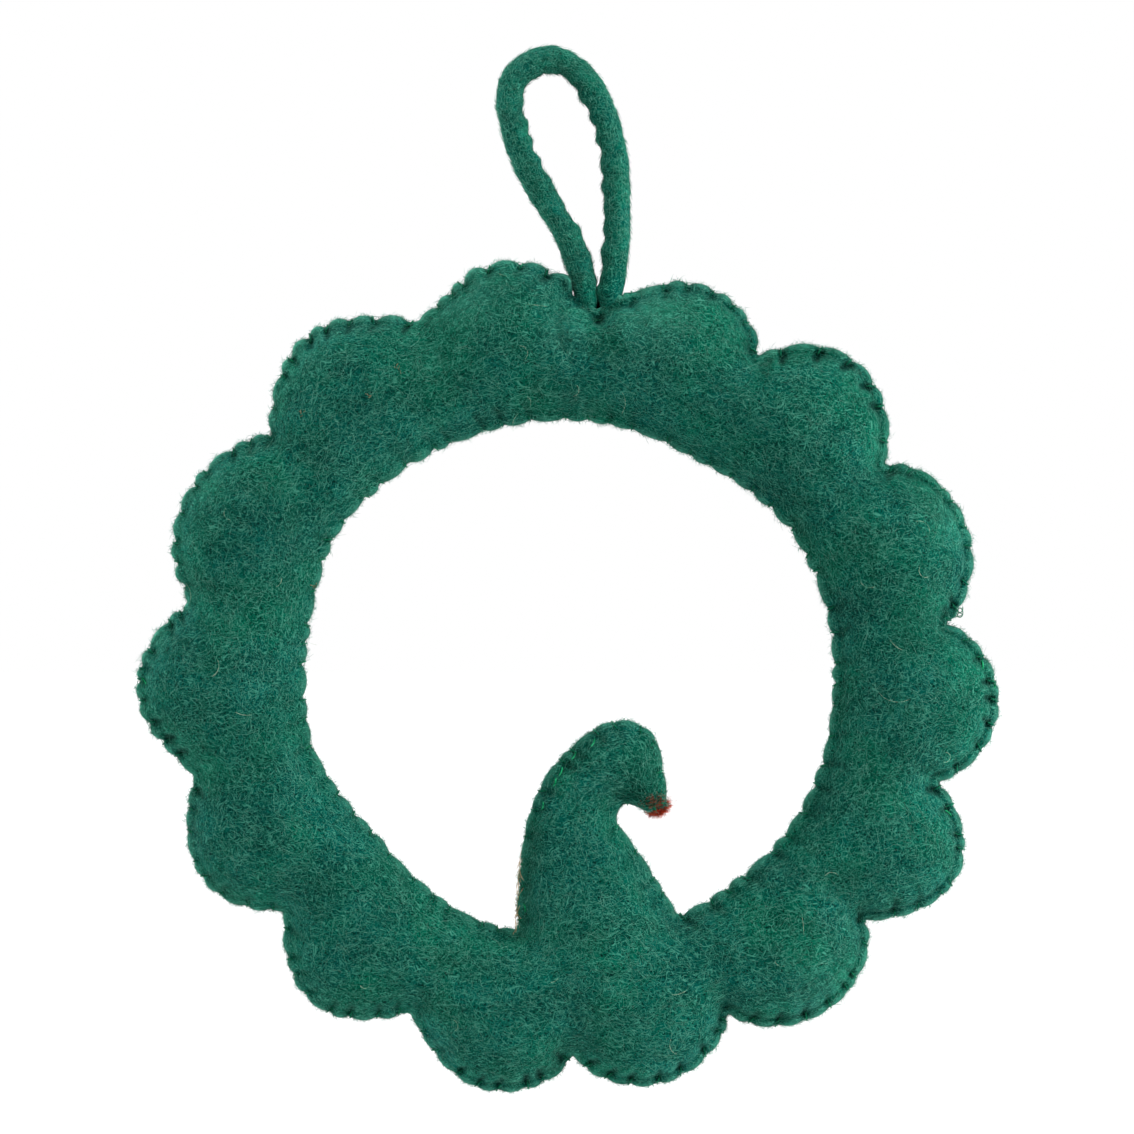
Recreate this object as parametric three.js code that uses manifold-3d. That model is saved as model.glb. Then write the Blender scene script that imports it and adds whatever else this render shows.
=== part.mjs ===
// Felt Christmas wreath: two scalloped felt panels overcast together and stuffed,
// a pointed hat that curls into the opening, and a felt rope loop to hang it by.
// Millimetres, +Z up. The origin is the point of the loop that a hook touches.
// The plain back faces -Y, and the ring stands in the XZ plane.
import * as THREE from 'three';
import { mergeVertices } from 'three/addons/utils/BufferGeometryUtils.js';
import Module from 'manifold-3d';

// Ring
const outerRadius = 152.5;      // centre to the crests of the lobes
const innerRadius = 93;         // centre to the sewn inner edge
const stuffedThickness = 32;    // through the crown of a lobe
const feltThickness = 2.5;
const seamWidth = 4;            // flat sewn edge, where one felt lies on the other
const restFlatDepth = 0.5;      // how far the crowns are pressed flat where the wreath rests

// Hat
const hatWidth = 55.6;          // at its foot on the ring
const hatHeight = 74;

// Hanging loop of felt rope
const ropeDiameter = 9.3;
const tailLength = 14;          // sewn in between the panels
const tailThickness = 4;        // the rope pressed flat there

// Wool felted on at the end of the hat
const tipWoolWidth = 10.5;
const tipWoolThickness = 8;

// Gap between pieces that touch
const clearance = 0.3;

// Worked out from the sizes above
const ropeRadius = ropeDiameter / 2;
const gateReach = 2 * ropeDiameter;  // how far from its roots the loop is kept clear of the panels
const halfGap = clearance / 2;
const seamHalf = feltThickness + halfGap;
const stuffedHalf = stuffedThickness / 2;
const cavityInset = seamWidth + feltThickness / 2;
const cavityLip = feltThickness / 3;

// The scalloped outline, anticlockwise from +X. One entry for each notch between two lobes:
// its place as a share of a full turn, and its reach as a share of the outer radius.
const notchTurnShares = [
  0.024, 0.096, 0.166, 0.238, 0.3125, 0.39, 0.467, 0.539, 0.608, 0.679, 0.752, 0.8215, 0.892, 0.958,
];
const notchReachShares = [
  0.89, 0.893, 0.877, 0.891, 0.907, 0.902, 0.904, 0.897, 0.853, 0.854, 0.868, 0.856, 0.885, 0.89,
];
// The reach of the lobe that follows each notch, as a share of the outer radius.
const crestReachShares = [
  0.99, 1, 0.973, 0.987, 1.01, 0.99, 1.003, 0.97, 0.957, 0.972, 0.958, 0.972, 1.01, 1,
];
// Where that lobe's crest lies: above 1 it leans towards the next notch.
const lobeLeanShares = [1.15, 1.08, 0.8, 1, 1, 1.05, 1, 1.2, 1.05, 1.2, 1, 1, 1.05, 1];
// How pointed that lobe is: 1 is a sine wave, and less is fuller.
const lobePointShares = [
  0.62, 0.75, 0.85, 1, 0.95, 0.75, 0.95, 0.8, 0.9, 0.8, 0.7, 0.65, 0.85, 0.7,
];
// The inner edge beside each notch, as a share of the inner radius.
const innerReachShares = [
  1.014, 1.018, 0.968, 0.99, 1, 1.035, 1.005, 0.994, 0.93, 0.957, 0.973, 0.979, 1, 1.012,
];
const loopNotch = 3;            // which of the notches the loop is sewn into
const notchDipShare = 0.16;     // how much flatter the ring is at a notch than at a crown

// The hat stands on the inner edge at this share of a full turn.
const hatFootTurnShare = 0.718;
// The hat's outline from foot to tip. Each row holds the outer edge, the hooked inner edge
// (each as shares of the hat's width and height from its foot) and the swell as a share of the ring's.
const hatOutlineShares = [
  [-0.01, -0.29, 1.12, -0.29, 0.92],
  [-0.01, 0, 1.02, 0.067, 0.88],
  [0, 0.19, 0.92, 0.21, 0.84],
  [0.02, 0.371, 0.797, 0.357, 0.8],
  [0.05, 0.505, 0.675, 0.486, 0.74],
  [0.1, 0.629, 0.632, 0.548, 0.68],
  [0.19, 0.762, 0.65, 0.59, 0.62],
  [0.33, 0.881, 0.688, 0.605, 0.57],
  [0.525, 0.992, 0.726, 0.605, 0.52],
  [0.72, 1.01, 0.758, 0.595, 0.47],
  [0.875, 0.935, 0.783, 0.586, 0.42],
  [0.94, 0.765, 0.803, 0.571, 0.37],
  [0.955, 0.657, 0.828, 0.552, 0.31],
  [0.962, 0.59, 0.873, 0.538, 0.24],
];

// The way across a pad between its two seams, and the share of the full swell reached there,
// for the outside of the felt and for the hollow inside it.
const domeShares = [[0.15, 0.72], [0.41, 1], [0.59, 1], [0.85, 0.72]];
const hollowShares = [[0.2, 0.8], [0.5, 1], [0.8, 0.8]];
const edgeRoundShare = 0.75;    // the worn edge of the felt against its full thickness

// Facets
const stepsPerLobe = 5;
const cavityStepsPerLobe = 2;
const hatSteps = 12;
const ropeSides = 10;
const ropeSteps = 38;

// The rope's centre line from the left root over the top to the right root:
// the way along X from the hook, and the drop below the top of the line.
const loopRoute = [
  [12.4, 79.6], [10.9, 74.0], [8.8, 67.6], [6.4, 61.6], [3.1, 55.9], [-0.7, 50.0], [-4.3, 44.3],
  [-7.6, 37.9], [-10.2, 31.5], [-12.0, 25.1], [-13.4, 18.8], [-13.8, 13.1], [-12.4, 7.4], [-8.8, 3.2],
  [-4.2, 0.8], [0.0, 0.0], [4.5, 0.9], [8.8, 3.4], [12.8, 7.4], [16.2, 12.5], [18.8, 18.1],
  [20.8, 24.0], [22.5, 30.9], [23.6, 38.7], [24.0, 47.2], [24.1, 55.7], [24.0, 63.4], [23.2, 71.9],
  [22.1, 79.6],
];
const routePoints = loopRoute.map(([along, drop]) => new THREE.Vector3(along, 0, ropeRadius - drop));
const leftRoot = routePoints[0];
const rightRoot = routePoints[routePoints.length - 1];

// The loop swings about the line through its two rounded roots.
const pivot = leftRoot.clone().lerp(rightRoot, 0.5);
const rootSpan = rightRoot.x - leftRoot.x + ropeDiameter;
const seatZ = pivot.z - ropeRadius - clearance;

// The ring's centre lies where its loop notch comes just under the roots.
const notchAngle = 2 * Math.PI * notchTurnShares[loopNotch];
const notchReach = outerRadius * notchReachShares[loopNotch];
const ringCentre = new THREE.Vector3(
  pivot.x - notchReach * Math.cos(notchAngle),
  0,
  seatZ - notchReach * Math.sin(notchAngle),
);

const wasm = await Module();
wasm.setup();

const greenFelt = new THREE.MeshStandardMaterial({ color: 0x1c5b4c, roughness: 0.95, metalness: 0 });
const greenRope = new THREE.MeshStandardMaterial({ color: 0x276759, roughness: 0.95, metalness: 0 });
const whiteFill = new THREE.MeshStandardMaterial({ color: 0xe9e6dd, roughness: 1, metalness: 0 });
const redWool = new THREE.MeshStandardMaterial({ color: 0x9a2c1c, roughness: 1, metalness: 0 });

// A closed geometry as a solid that can be joined and cut.
function toSolid(geometry) {
  const bare = geometry.clone();
  bare.deleteAttribute('normal');
  bare.deleteAttribute('uv');
  const merged = mergeVertices(bare);
  return new wasm.Manifold(new wasm.Mesh({
    numProp: 3,
    vertProperties: new Float32Array(merged.attributes.position.array),
    triVerts: new Uint32Array(merged.index.array),
  }));
}

// A solid as a named mesh.
function toMesh(name, solid, material) {
  const { vertProperties, triVerts } = solid.getMesh();
  const geometry = new THREE.BufferGeometry();
  geometry.setAttribute('position', new THREE.BufferAttribute(new Float32Array(vertProperties), 3));
  geometry.setIndex(Array.from(triVerts));
  geometry.computeVertexNormals();
  const mesh = new THREE.Mesh(geometry, material);
  mesh.name = name;
  return mesh;
}

// A box as a solid, from its size and the place of its centre.
function boxSolid(width, depth, height, centre) {
  const box = new THREE.BoxGeometry(width, depth, height);
  box.translate(centre.x, centre.y, centre.z);
  return toSolid(box);
}

// A pad is lofted through stations. Each station has two edge points in the XZ plane,
// from and to, and the profile gives rows of [way in from the first edge, half thickness].
function padSolid(stations, profile, closed) {
  const rows = stations.map(profile);
  const perSide = rows[0].length;
  const perStation = 2 * perSide;
  const positions = [];
  stations.forEach(({ from, to }, index) => {
    const across = to.clone().sub(from).normalize();
    const side = (sign) => rows[index].map(([way, half]) => {
      const point = from.clone().addScaledVector(across, way);
      return [point.x, sign * half, point.z];
    });
    positions.push(...side(-1).flat(), ...side(1).reverse().flat());
  });

  const triangles = [];
  const spans = closed ? stations.length : stations.length - 1;
  for (let span = 0; span < spans; span += 1) {
    const here = span * perStation;
    const there = ((span + 1) % stations.length) * perStation;
    for (let k = 0; k < perStation; k += 1) {
      const next = (k + 1) % perStation;
      triangles.push(here + k, there + next, here + next, here + k, there + k, there + next);
    }
  }
  if (!closed) {
    const last = (stations.length - 1) * perStation;
    for (let k = 0; k < perSide - 1; k += 1) {
      const far = perStation - 1 - k;
      triangles.push(k, k + 1, far - 1, k, far - 1, far);
      triangles.push(last + k, last + far - 1, last + k + 1, last + k, last + far, last + far - 1);
    }
  }

  const geometry = new THREE.BufferGeometry();
  geometry.setAttribute('position', new THREE.Float32BufferAttribute(positions, 3));
  geometry.setIndex(triangles);
  return toSolid(geometry);
}

const stationWidth = ({ from, to }) => from.distanceTo(to);

// The outside of the felt, grown all round by a chosen amount: a thin sewn edge, then the dome.
function skinProfile(grow) {
  return (station) => {
    const width = stationWidth(station);
    const seam = Math.min(seamWidth, width * domeShares[0][0]);
    const edgeHalf = feltThickness * edgeRoundShare + station.lift + grow;
    const wallHalf = seamHalf + station.lift;
    const crown = Math.min(station.half, stuffedHalf - restFlatDepth);
    const rise = Math.max(crown - wallHalf, 0);
    const dome = domeShares.map(([way, swell]) => [
      seam + (width - 2 * seam) * way,
      wallHalf + rise * swell + grow,
    ]);
    return [
      [-grow, edgeHalf],
      [seam, wallHalf + grow],
      ...dome,
      [width - seam, wallHalf + grow],
      [width + grow, edgeHalf],
    ];
  };
}

// The hollow for the stuffing, or the stuffing itself when shrunk by the clearance.
function hollowProfile(shrink) {
  return (station) => {
    const inset = cavityInset + shrink;
    const width = stationWidth(station) - 2 * inset;
    const crown = station.half - feltThickness - shrink;
    const lip = cavityLip - shrink;
    const dome = hollowShares.map(([way, swell]) => [inset + width * way, crown * swell]);
    return [[inset, lip], ...dome, [inset + width, lip]];
  };
}

function ringPoint(reach, turnShare) {
  const angle = 2 * Math.PI * turnShare;
  return new THREE.Vector3(Math.cos(angle), 0, Math.sin(angle)).multiplyScalar(reach).add(ringCentre);
}

// The panels stand off each other beside the loop notch, where the rope's tails lie between them.
const tailBulge = tailThickness / 2 + clearance - halfGap;
function tailLift(point) {
  const overshoot = Math.abs(point.x - pivot.x) - rootSpan / 2;
  const near = THREE.MathUtils.clamp(1 - overshoot / ropeRadius, 0, 1);
  return point.z > ringCentre.z ? tailBulge * near : 0;
}

// Stations round the ring: the outline swells from notch to notch, and the dome with it.
function ringStations(steps) {
  const stations = [];
  const lobes = notchTurnShares.length;
  for (let lobe = 0; lobe < lobes; lobe += 1) {
    const next = (lobe + 1) % lobes;
    const startTurn = notchTurnShares[lobe];
    const endTurn = notchTurnShares[next] + (next === 0 ? 1 : 0);
    const meanNotch = (notchReachShares[lobe] + notchReachShares[next]) / 2;
    for (let step = 0; step < steps; step += 1) {
      const share = step / steps;
      const turn = THREE.MathUtils.lerp(startTurn, endTurn, share);
      const swell = Math.sin(Math.PI * share ** lobeLeanShares[lobe]) ** lobePointShares[lobe];
      const valley = THREE.MathUtils.lerp(notchReachShares[lobe], notchReachShares[next], share);
      const reach = outerRadius * (valley + (crestReachShares[lobe] - meanNotch) * swell);
      const inner = innerRadius * THREE.MathUtils.lerp(innerReachShares[lobe], innerReachShares[next], share);
      const from = ringPoint(reach, turn);
      stations.push({
        from,
        to: ringPoint(inner, turn),
        half: stuffedHalf * (1 - notchDipShare * (1 - swell)),
        lift: tailLift(from),
      });
    }
  }
  return stations;
}

// Stations up the hat, from inside the ring's band to the tip of the hook.
function hatStations() {
  const foot = ringPoint(innerRadius * innerReachShares[10], hatFootTurnShare);
  const edge = (column) => new THREE.CatmullRomCurve3(hatOutlineShares.map((row) => new THREE.Vector3(
    foot.x + hatWidth * row[column],
    stuffedHalf * row[4],
    foot.z + hatHeight * row[column + 1],
  )));
  const outerEdge = edge(0);
  const hookedEdge = edge(2);
  const stations = [];
  for (let step = 0; step <= hatSteps; step += 1) {
    const from = hookedEdge.getPoint(step / hatSteps);
    const to = outerEdge.getPoint(step / hatSteps);
    const half = from.y;
    from.y = 0;
    to.y = 0;
    stations.push({ from, to, half, lift: 0 });
  }
  return stations;
}

// The stations with one more, set off past the last.
function withEndBeyond(stations, distance) {
  const [before, last] = stations.slice(-2);
  const shift = last.from.clone().add(last.to).sub(before.from).sub(before.to).setLength(distance);
  const beyond = { ...last, from: last.from.clone().add(shift), to: last.to.clone().add(shift) };
  return [...stations, beyond];
}

const hat = hatStations();
const stuffedHat = hat.filter((station) => stationWidth(station) > 3 * cavityInset);
const ringHollow = padSolid(ringStations(cavityStepsPerLobe), hollowProfile(0), true);
const hatHollow = padSolid(stuffedHat, hollowProfile(0), false);

// The rope's tails: two ends side by side, pressed flat between the panels.
function tailSolid(root, grow) {
  const outline = new THREE.Shape();
  outline.absellipse(0, 0, ropeRadius + grow, tailThickness / 2 + grow, 0, 2 * Math.PI);
  const tail = new THREE.ExtrudeGeometry(outline, {
    depth: tailLength + 2 * grow,
    bevelEnabled: false,
    curveSegments: ropeSides / 2,
  });
  tail.translate(root.x, 0, seatZ - tailLength - grow);
  return toSolid(tail);
}

// What the panels leave free for the loop: all that both strands sweep beside the notch
// as they swing about the pivot, down to the seat.
function loopGate() {
  const sideRoom = ropeRadius + 2 * clearance;
  const beside = (point, side) => new THREE.Vector2(point.z - pivot.z, point.x + side * sideRoom);
  const near = routePoints.filter((point) => point.z < pivot.z + gateReach);
  const leftSide = near.filter((point) => point.x < pivot.x).map((point) => beside(point, -1));
  const rightSide = near.filter((point) => point.x > pivot.x).map((point) => beside(point, 1));
  const sweep = new THREE.LatheGeometry([...leftSide, ...rightSide], 3 * ropeSides);
  sweep.rotateZ(-Math.PI / 2);
  sweep.translate(0, pivot.y, pivot.z);
  const span = 2 * gateReach;
  const aboveSeat = new THREE.Vector3(pivot.x, 0, seatZ + span / 2);
  return toSolid(sweep).intersect(boxSolid(2 * span, 2 * span, span, aboveSeat));
}

// Both panels in one piece, before they are parted along the sewn edge.
function feltShell() {
  const ring = padSolid(ringStations(stepsPerLobe), skinProfile(0), true);
  const cap = padSolid(hat, skinProfile(0), false);
  return ring.add(cap)
    .subtract(ringHollow)
    .subtract(hatHollow)
    .subtract(tailSolid(leftRoot, clearance))
    .subtract(tailSolid(rightRoot, clearance))
    .subtract(loopGate());
}

// One side of the shell, -1 for the back and 1 for the front, without its half of the gap.
function panelSide(shell, side) {
  const span = 4 * outerRadius;
  const centre = ringCentre.clone();
  centre.y = side * (halfGap + stuffedHalf);
  return shell.intersect(boxSolid(span, stuffedThickness, span, centre));
}

function ringStuffing() {
  return padSolid(ringStations(cavityStepsPerLobe), hollowProfile(clearance), true)
    .subtract(tailSolid(leftRoot, 2 * clearance))
    .subtract(tailSolid(rightRoot, 2 * clearance));
}

// What the ring's own stuffing leaves to fill in the hat. Chips cut off at its foot are dropped.
function hatStuffing() {
  const filling = padSolid(stuffedHat.slice(0, -1), hollowProfile(clearance), false).subtract(ringHollow);
  return filling.decompose().sort((one, other) => other.volume() - one.volume())[0];
}

// The free rope, with a rounded root at each end that can turn over its seat.
function ropeLoop() {
  const section = new THREE.Shape();
  section.absellipse(0, 0, ropeRadius, ropeRadius, 0, 2 * Math.PI);
  const rope = new THREE.ExtrudeGeometry(new THREE.Shape(section.getPoints(ropeSides / 2)), {
    steps: ropeSteps,
    extrudePath: new THREE.CatmullRomCurve3(routePoints),
  });
  const roundRoot = (root) => {
    const ball = new THREE.SphereGeometry(ropeRadius, ropeSides, ropeSides);
    ball.translate(root.x, root.y, root.z);
    return toSolid(ball);
  };
  return toSolid(rope).add(roundRoot(leftRoot)).add(roundRoot(rightRoot));
}

// The wool at the hat's tip lies on its front and shows past its end.
function tipWool() {
  const { from, to, half } = hat[hat.length - 2];
  const centre = from.clone().lerp(to, 0.5);
  const wool = new THREE.SphereGeometry(tipWoolWidth / 2, ropeSides, ropeSides);
  wool.scale(1, tipWoolThickness / tipWoolWidth, 1);
  wool.translate(centre.x, half, centre.z);
  return toSolid(wool).subtract(padSolid(withEndBeyond(hat, clearance), skinProfile(clearance), false));
}

const shell = feltShell();
const wreath = new THREE.Group();
wreath.add(toMesh('back_panel', panelSide(shell, -1), greenFelt));
wreath.add(toMesh('front_panel', panelSide(shell, 1), greenFelt));
wreath.add(toMesh('ring_stuffing', ringStuffing(), whiteFill));
wreath.add(toMesh('hat_stuffing', hatStuffing(), whiteFill));
wreath.add(toMesh('loop_tail_left', tailSolid(leftRoot, 0), greenRope));
wreath.add(toMesh('loop_tail_right', tailSolid(rightRoot, 0), greenRope));
wreath.add(toMesh('hat_tip_wool', tipWool(), redWool));

const part = new THREE.Group();
part.add(wreath);
part.add(toMesh('hanging_loop', ropeLoop(), greenRope));

export default part;
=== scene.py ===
# %% [markdown]
# # A felt Christmas wreath
# The real piece is handwork: two layers of thick wool felt cut to one scalloped outline, with a
# pointed hat that curls into the opening. They are sewn together round every edge, stuffed with
# wadding, and hung by a loop of felted rope. It is seen here from its plain back.
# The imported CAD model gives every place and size. This script puts the soft, woolly pieces where
# the CAD solids are, so it begins by loading that frame and noting the size of its box.

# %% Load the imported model
import math

import bpy
import numpy as np
from mathutils import Matrix, Vector, noise
from mathutils.bvhtree import BVHTree
from mathutils.geometry import delaunay_2d_cdt
from mathutils.interpolate import poly_3d_calc


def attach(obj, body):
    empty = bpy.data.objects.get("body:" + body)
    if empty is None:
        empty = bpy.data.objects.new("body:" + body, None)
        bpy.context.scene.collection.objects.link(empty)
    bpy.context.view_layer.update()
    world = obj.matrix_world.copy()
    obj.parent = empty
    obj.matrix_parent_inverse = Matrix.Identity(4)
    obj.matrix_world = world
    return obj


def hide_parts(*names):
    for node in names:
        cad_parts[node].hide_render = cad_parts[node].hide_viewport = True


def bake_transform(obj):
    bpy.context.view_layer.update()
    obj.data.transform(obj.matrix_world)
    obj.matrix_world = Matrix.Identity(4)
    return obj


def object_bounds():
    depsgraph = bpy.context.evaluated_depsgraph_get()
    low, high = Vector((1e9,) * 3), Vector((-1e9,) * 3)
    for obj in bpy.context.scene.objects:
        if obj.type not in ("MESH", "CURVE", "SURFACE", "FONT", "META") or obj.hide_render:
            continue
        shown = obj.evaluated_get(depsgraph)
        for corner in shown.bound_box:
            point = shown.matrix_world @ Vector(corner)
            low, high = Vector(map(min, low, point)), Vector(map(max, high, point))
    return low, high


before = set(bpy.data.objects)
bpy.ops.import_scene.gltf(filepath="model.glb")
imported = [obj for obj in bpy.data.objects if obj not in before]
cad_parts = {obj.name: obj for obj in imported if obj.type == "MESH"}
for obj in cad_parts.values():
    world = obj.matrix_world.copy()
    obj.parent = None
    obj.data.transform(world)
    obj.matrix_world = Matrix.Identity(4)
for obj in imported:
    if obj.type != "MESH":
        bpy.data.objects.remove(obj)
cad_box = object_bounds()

MM = 0.001
print("CAD box", [[round(v, 4) for v in corner] for corner in cad_box])

# %% [markdown]
# ## The camera
# The photograph was taken straight on, from far enough away that nothing looks foreshortened.
# A long lens on a level camera does the same. The width of the view at the sewn edge of the
# wreath sets the distance, so the picture is framed by a measurement and not by eye.

# %% Camera
PICTURE_WIDTH = 401.2 * MM
PICTURE_CENTRE = Vector((6.4 * MM, 0, -174.9 * MM))
LENS, SENSOR, SIGHT = 100, 36, 20


def aim(thing, target):
    thing.rotation_euler = (Vector(target) - thing.location).to_track_quat("-Z", "Y").to_euler()


distance = PICTURE_WIDTH * LENS / SENSOR
bpy.ops.object.select_all(action="DESELECT")
bpy.ops.object.camera_add(location=PICTURE_CENTRE - Vector((0, distance, 0)))
camera = bpy.context.active_object
camera.name = "camera"
camera.data.lens = LENS
camera.data.sensor_width = SENSOR
camera.data.clip_end = SIGHT
aim(camera, PICTURE_CENTRE)
bpy.context.scene.camera = camera
bpy.context.scene.view_settings.view_transform = "Standard"
print(f"camera {distance:.3f} m in front of the sewn edge")

# %% [markdown]
# ## The room
# Soft studio light and a pale floor. The world lights the piece evenly. One large lamp at the
# camera's right and a weaker one above give every lobe a lit shoulder and a gentle shade below it.
# Three small lamps stand in the plane of the wreath. From there they reach only the edges of the
# lobes, as the light from a white table and white walls does. The last one lights the far side,
# which the camera doesn't see, so that the piece can be looked at from there as well.
# What the camera sees directly is plain white, which the Light Path node allows without more
# light on the wool. A few short helpers add and link the nodes, and the wool below uses them too.

# %% Helpers for nodes
def set_inputs(node, **values):
    """Fills in a node's named inputs. A low line in a name stands for a space."""
    for title, value in values.items():
        node.inputs[title.replace("_", " ")].default_value = value
    return node


def fill(tree, node, *values):
    """Gives a node's inputs, in turn, a plain value, a link, or with None neither."""
    for socket, value in zip(node.inputs, values):
        if isinstance(value, (int, float, tuple)):
            socket.default_value = value
        elif value is not None:
            tree.links.new(value, socket)


def math_node(tree, operation, first, second=None):
    node = tree.nodes.new("ShaderNodeMath")
    node.operation = operation
    fill(tree, node, first, second)
    return node.outputs[0]


def vector_node(tree, operation, *values):
    node = tree.nodes.new("ShaderNodeVectorMath")
    node.operation = operation
    fill(tree, node, *values)
    return node.outputs["Value" if operation == "LENGTH" else "Vector"]


def range_node(tree, value, low, high, start=0.0, end=1.0, smooth=True):
    node = tree.nodes.new("ShaderNodeMapRange")
    node.interpolation_type = "SMOOTHSTEP" if smooth else "LINEAR"
    fill(tree, node, value, low, high, start, end)
    return node.outputs["Result"]


def mix_shaders(tree, amount, first, second, output):
    pick = tree.nodes.new("ShaderNodeMixShader")
    fill(tree, pick, amount, first.outputs[0], second.outputs[0])
    tree.links.new(pick.outputs[0], tree.nodes.new(output).inputs["Surface"])


# %% World
WHITE = (1, 1, 1, 1)
WORLD_LIGHT = 0.063
world = bpy.context.scene.world or bpy.data.worlds.new("room")
bpy.context.scene.world = world
world.use_nodes = True
tree = world.node_tree
tree.nodes.clear()
ray = tree.nodes.new("ShaderNodeLightPath").outputs
seen = math_node(tree, "MAXIMUM", ray["Is Camera Ray"], ray["Is Glossy Ray"])
seen = math_node(tree, "MAXIMUM", seen, ray["Is Transmission Ray"])
sky = set_inputs(tree.nodes.new("ShaderNodeBackground"), Color=WHITE, Strength=WORLD_LIGHT)
backdrop = set_inputs(tree.nodes.new("ShaderNodeBackground"), Color=WHITE, Strength=1)
mix_shaders(tree, seen, sky, backdrop, "ShaderNodeOutputWorld")
print(f"world light {WORLD_LIGHT}")


# %% Lamps
def lamp(name, place, size, watts):
    bpy.ops.object.light_add(type="AREA", location=place)
    light = bpy.context.active_object
    light.name = name
    light.data.size = size
    light.data.energy = watts
    aim(light, PICTURE_CENTRE)


lamp("key_lamp", (1.0, -0.5, 0.42), size=0.7, watts=20.4)
lamp("top_lamp", (-0.05, -0.6, 0.95), size=0.8, watts=9)
small_lamps = {"left_lamp": (-0.85, 0, -0.28), "corner_lamp": (-0.55, 0, 0.45), "low_lamp": (0.8, 0, -0.4)}
for name, place in small_lamps.items():
    lamp(name, place, size=0.15, watts=3.3)
lamp("front_lamp", (-0.7, 0.9, 0.45), size=0.8, watts=22)

# %% Floor
FLOOR_DROP, FLOOR_SIZE = 120 * MM, 16
FLOOR_GREY, FLOOR_GLOW = (0.86, 0.86, 0.86, 1), 1.17
bpy.ops.mesh.primitive_plane_add(size=FLOOR_SIZE, location=(0, 0, cad_box[0][2] - FLOOR_DROP))
floor = bpy.context.active_object
floor.name = "floor"
floor_paint = bpy.data.materials.new("floor_paint")
floor_paint.use_nodes = True
tree = floor_paint.node_tree
tree.nodes.clear()
away = vector_node(tree, "LENGTH", tree.nodes.new("ShaderNodeTexCoord").outputs["Object"])
# Below the wreath the camera sees some of the shaded floor, and farther off only white.
whiter = range_node(tree, away, 0.5, 1.8, 0.76, 1.0, smooth=False)
seen = math_node(tree, "MULTIPLY", tree.nodes.new("ShaderNodeLightPath").outputs["Is Camera Ray"], whiter)
matt = set_inputs(tree.nodes.new("ShaderNodeBsdfDiffuse"), Color=FLOOR_GREY)
glow = set_inputs(tree.nodes.new("ShaderNodeEmission"), Color=WHITE, Strength=FLOOR_GLOW)
mix_shaders(tree, seen, matt, glow, "ShaderNodeOutputMaterial")
floor.data.materials.append(floor_paint)
print(f"floor {FLOOR_DROP / MM:.0f} mm below the wreath")

# %% [markdown]
# ## Wool, drawn with nodes
# Felt is a mat of fine fibres that lie every way. Two node groups draw it. The first, fibre_mat,
# draws thin curved lines: the peaks of a noise pattern that is stretched a long way one way look
# like strands, and a second pattern bends them. Five such layers cross at different angles.
# The second, dye_clouds, is the slow change of shade that hand dyeing and felting leave.
# Both groups put out only values, and the shader stays in each material, where it can be exported.

# %% Helpers for node groups
def new_group(name, inputs, outputs):
    group = bpy.data.node_groups.new(name, "ShaderNodeTree")
    for title, kind, value in inputs:
        socket = group.interface.new_socket(title, in_out="INPUT", socket_type=kind)
        if value is not None:
            socket.default_value = value
    for title, kind in outputs:
        group.interface.new_socket(title, in_out="OUTPUT", socket_type=kind)
    return group, group.nodes.new("NodeGroupInput"), group.nodes.new("NodeGroupOutput")


def noise_node(tree, vector, scale, detail, roughness, colour=False):
    node = tree.nodes.new("ShaderNodeTexNoise")
    fill(tree, node, vector, None, scale, detail, roughness)
    return node.outputs["Color" if colour else "Fac"]


# %% The fibre mat
STRAND_TURNS = (4, 24, 76, 128, 163)
LAYER_SHIFT = (7.3, 3.1, 5.7)
STRAND_FROM, STRAND_TO = 0.62, 0.75
HOLLOW_FROM, HOLLOW_TO = 0.56, 0.34
CURL_SCALE, CURL_SWING = 170, 4


def make_fibre_mat():
    group, inside, outside = new_group(
        "fibre_mat",
        [("Vector", "NodeSocketVector", None), ("Strand length", "NodeSocketFloat", 4 * MM),
         ("Strand width", "NodeSocketFloat", 0.3 * MM), ("Curl", "NodeSocketFloat", 1.1 * MM)],
        [("Strands", "NodeSocketFloat"), ("Hollows", "NodeSocketFloat"), ("Height", "NodeSocketFloat")],
    )
    where = inside.outputs["Vector"]
    swirl = noise_node(group, where, CURL_SCALE, 1, 0.5, colour=True)
    curls = vector_node(group, "SUBTRACT", swirl, (0.5, 0.5, 0.5))
    swing = math_node(group, "MULTIPLY", inside.outputs["Curl"], CURL_SWING)
    place = vector_node(group, "ADD", where, vector_node(group, "SCALE", curls, None, None, swing))
    across = math_node(group, "DIVIDE", 0.5, inside.outputs["Strand width"])
    along = math_node(group, "DIVIDE", 0.9, inside.outputs["Strand length"])
    stretch = group.nodes.new("ShaderNodeCombineXYZ")
    fill(group, stretch, along, across, across)
    strands = None
    for number, turn in enumerate(STRAND_TURNS):
        turned = group.nodes.new("ShaderNodeVectorRotate")
        turned.rotation_type = "Y_AXIS"
        fill(group, turned, place, None, None, math.radians(turn))
        shift = tuple(number * step for step in LAYER_SHIFT)
        moved = vector_node(group, "MULTIPLY_ADD", turned.outputs[0], stretch.outputs[0], shift)
        layer = range_node(group, noise_node(group, moved, 1, 0.6, 0.5), STRAND_FROM, STRAND_TO)
        strands = layer if strands is None else math_node(group, "MAXIMUM", strands, layer)
    grain = noise_node(group, where, math_node(group, "MULTIPLY", across, 0.55), 2, 0.6)
    # Low grain marks the hollows between the strands, where the wool paints shade.
    hollows = range_node(group, grain, HOLLOW_FROM, HOLLOW_TO)
    bare = math_node(group, "SUBTRACT", 1.0, strands)
    height = math_node(group, "ADD", math_node(group, "MULTIPLY", strands, 0.6), grain)
    fill(group, outside, strands, math_node(group, "MULTIPLY", hollows, bare), height)
    return group


fibre_mat = make_fibre_mat()


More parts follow.
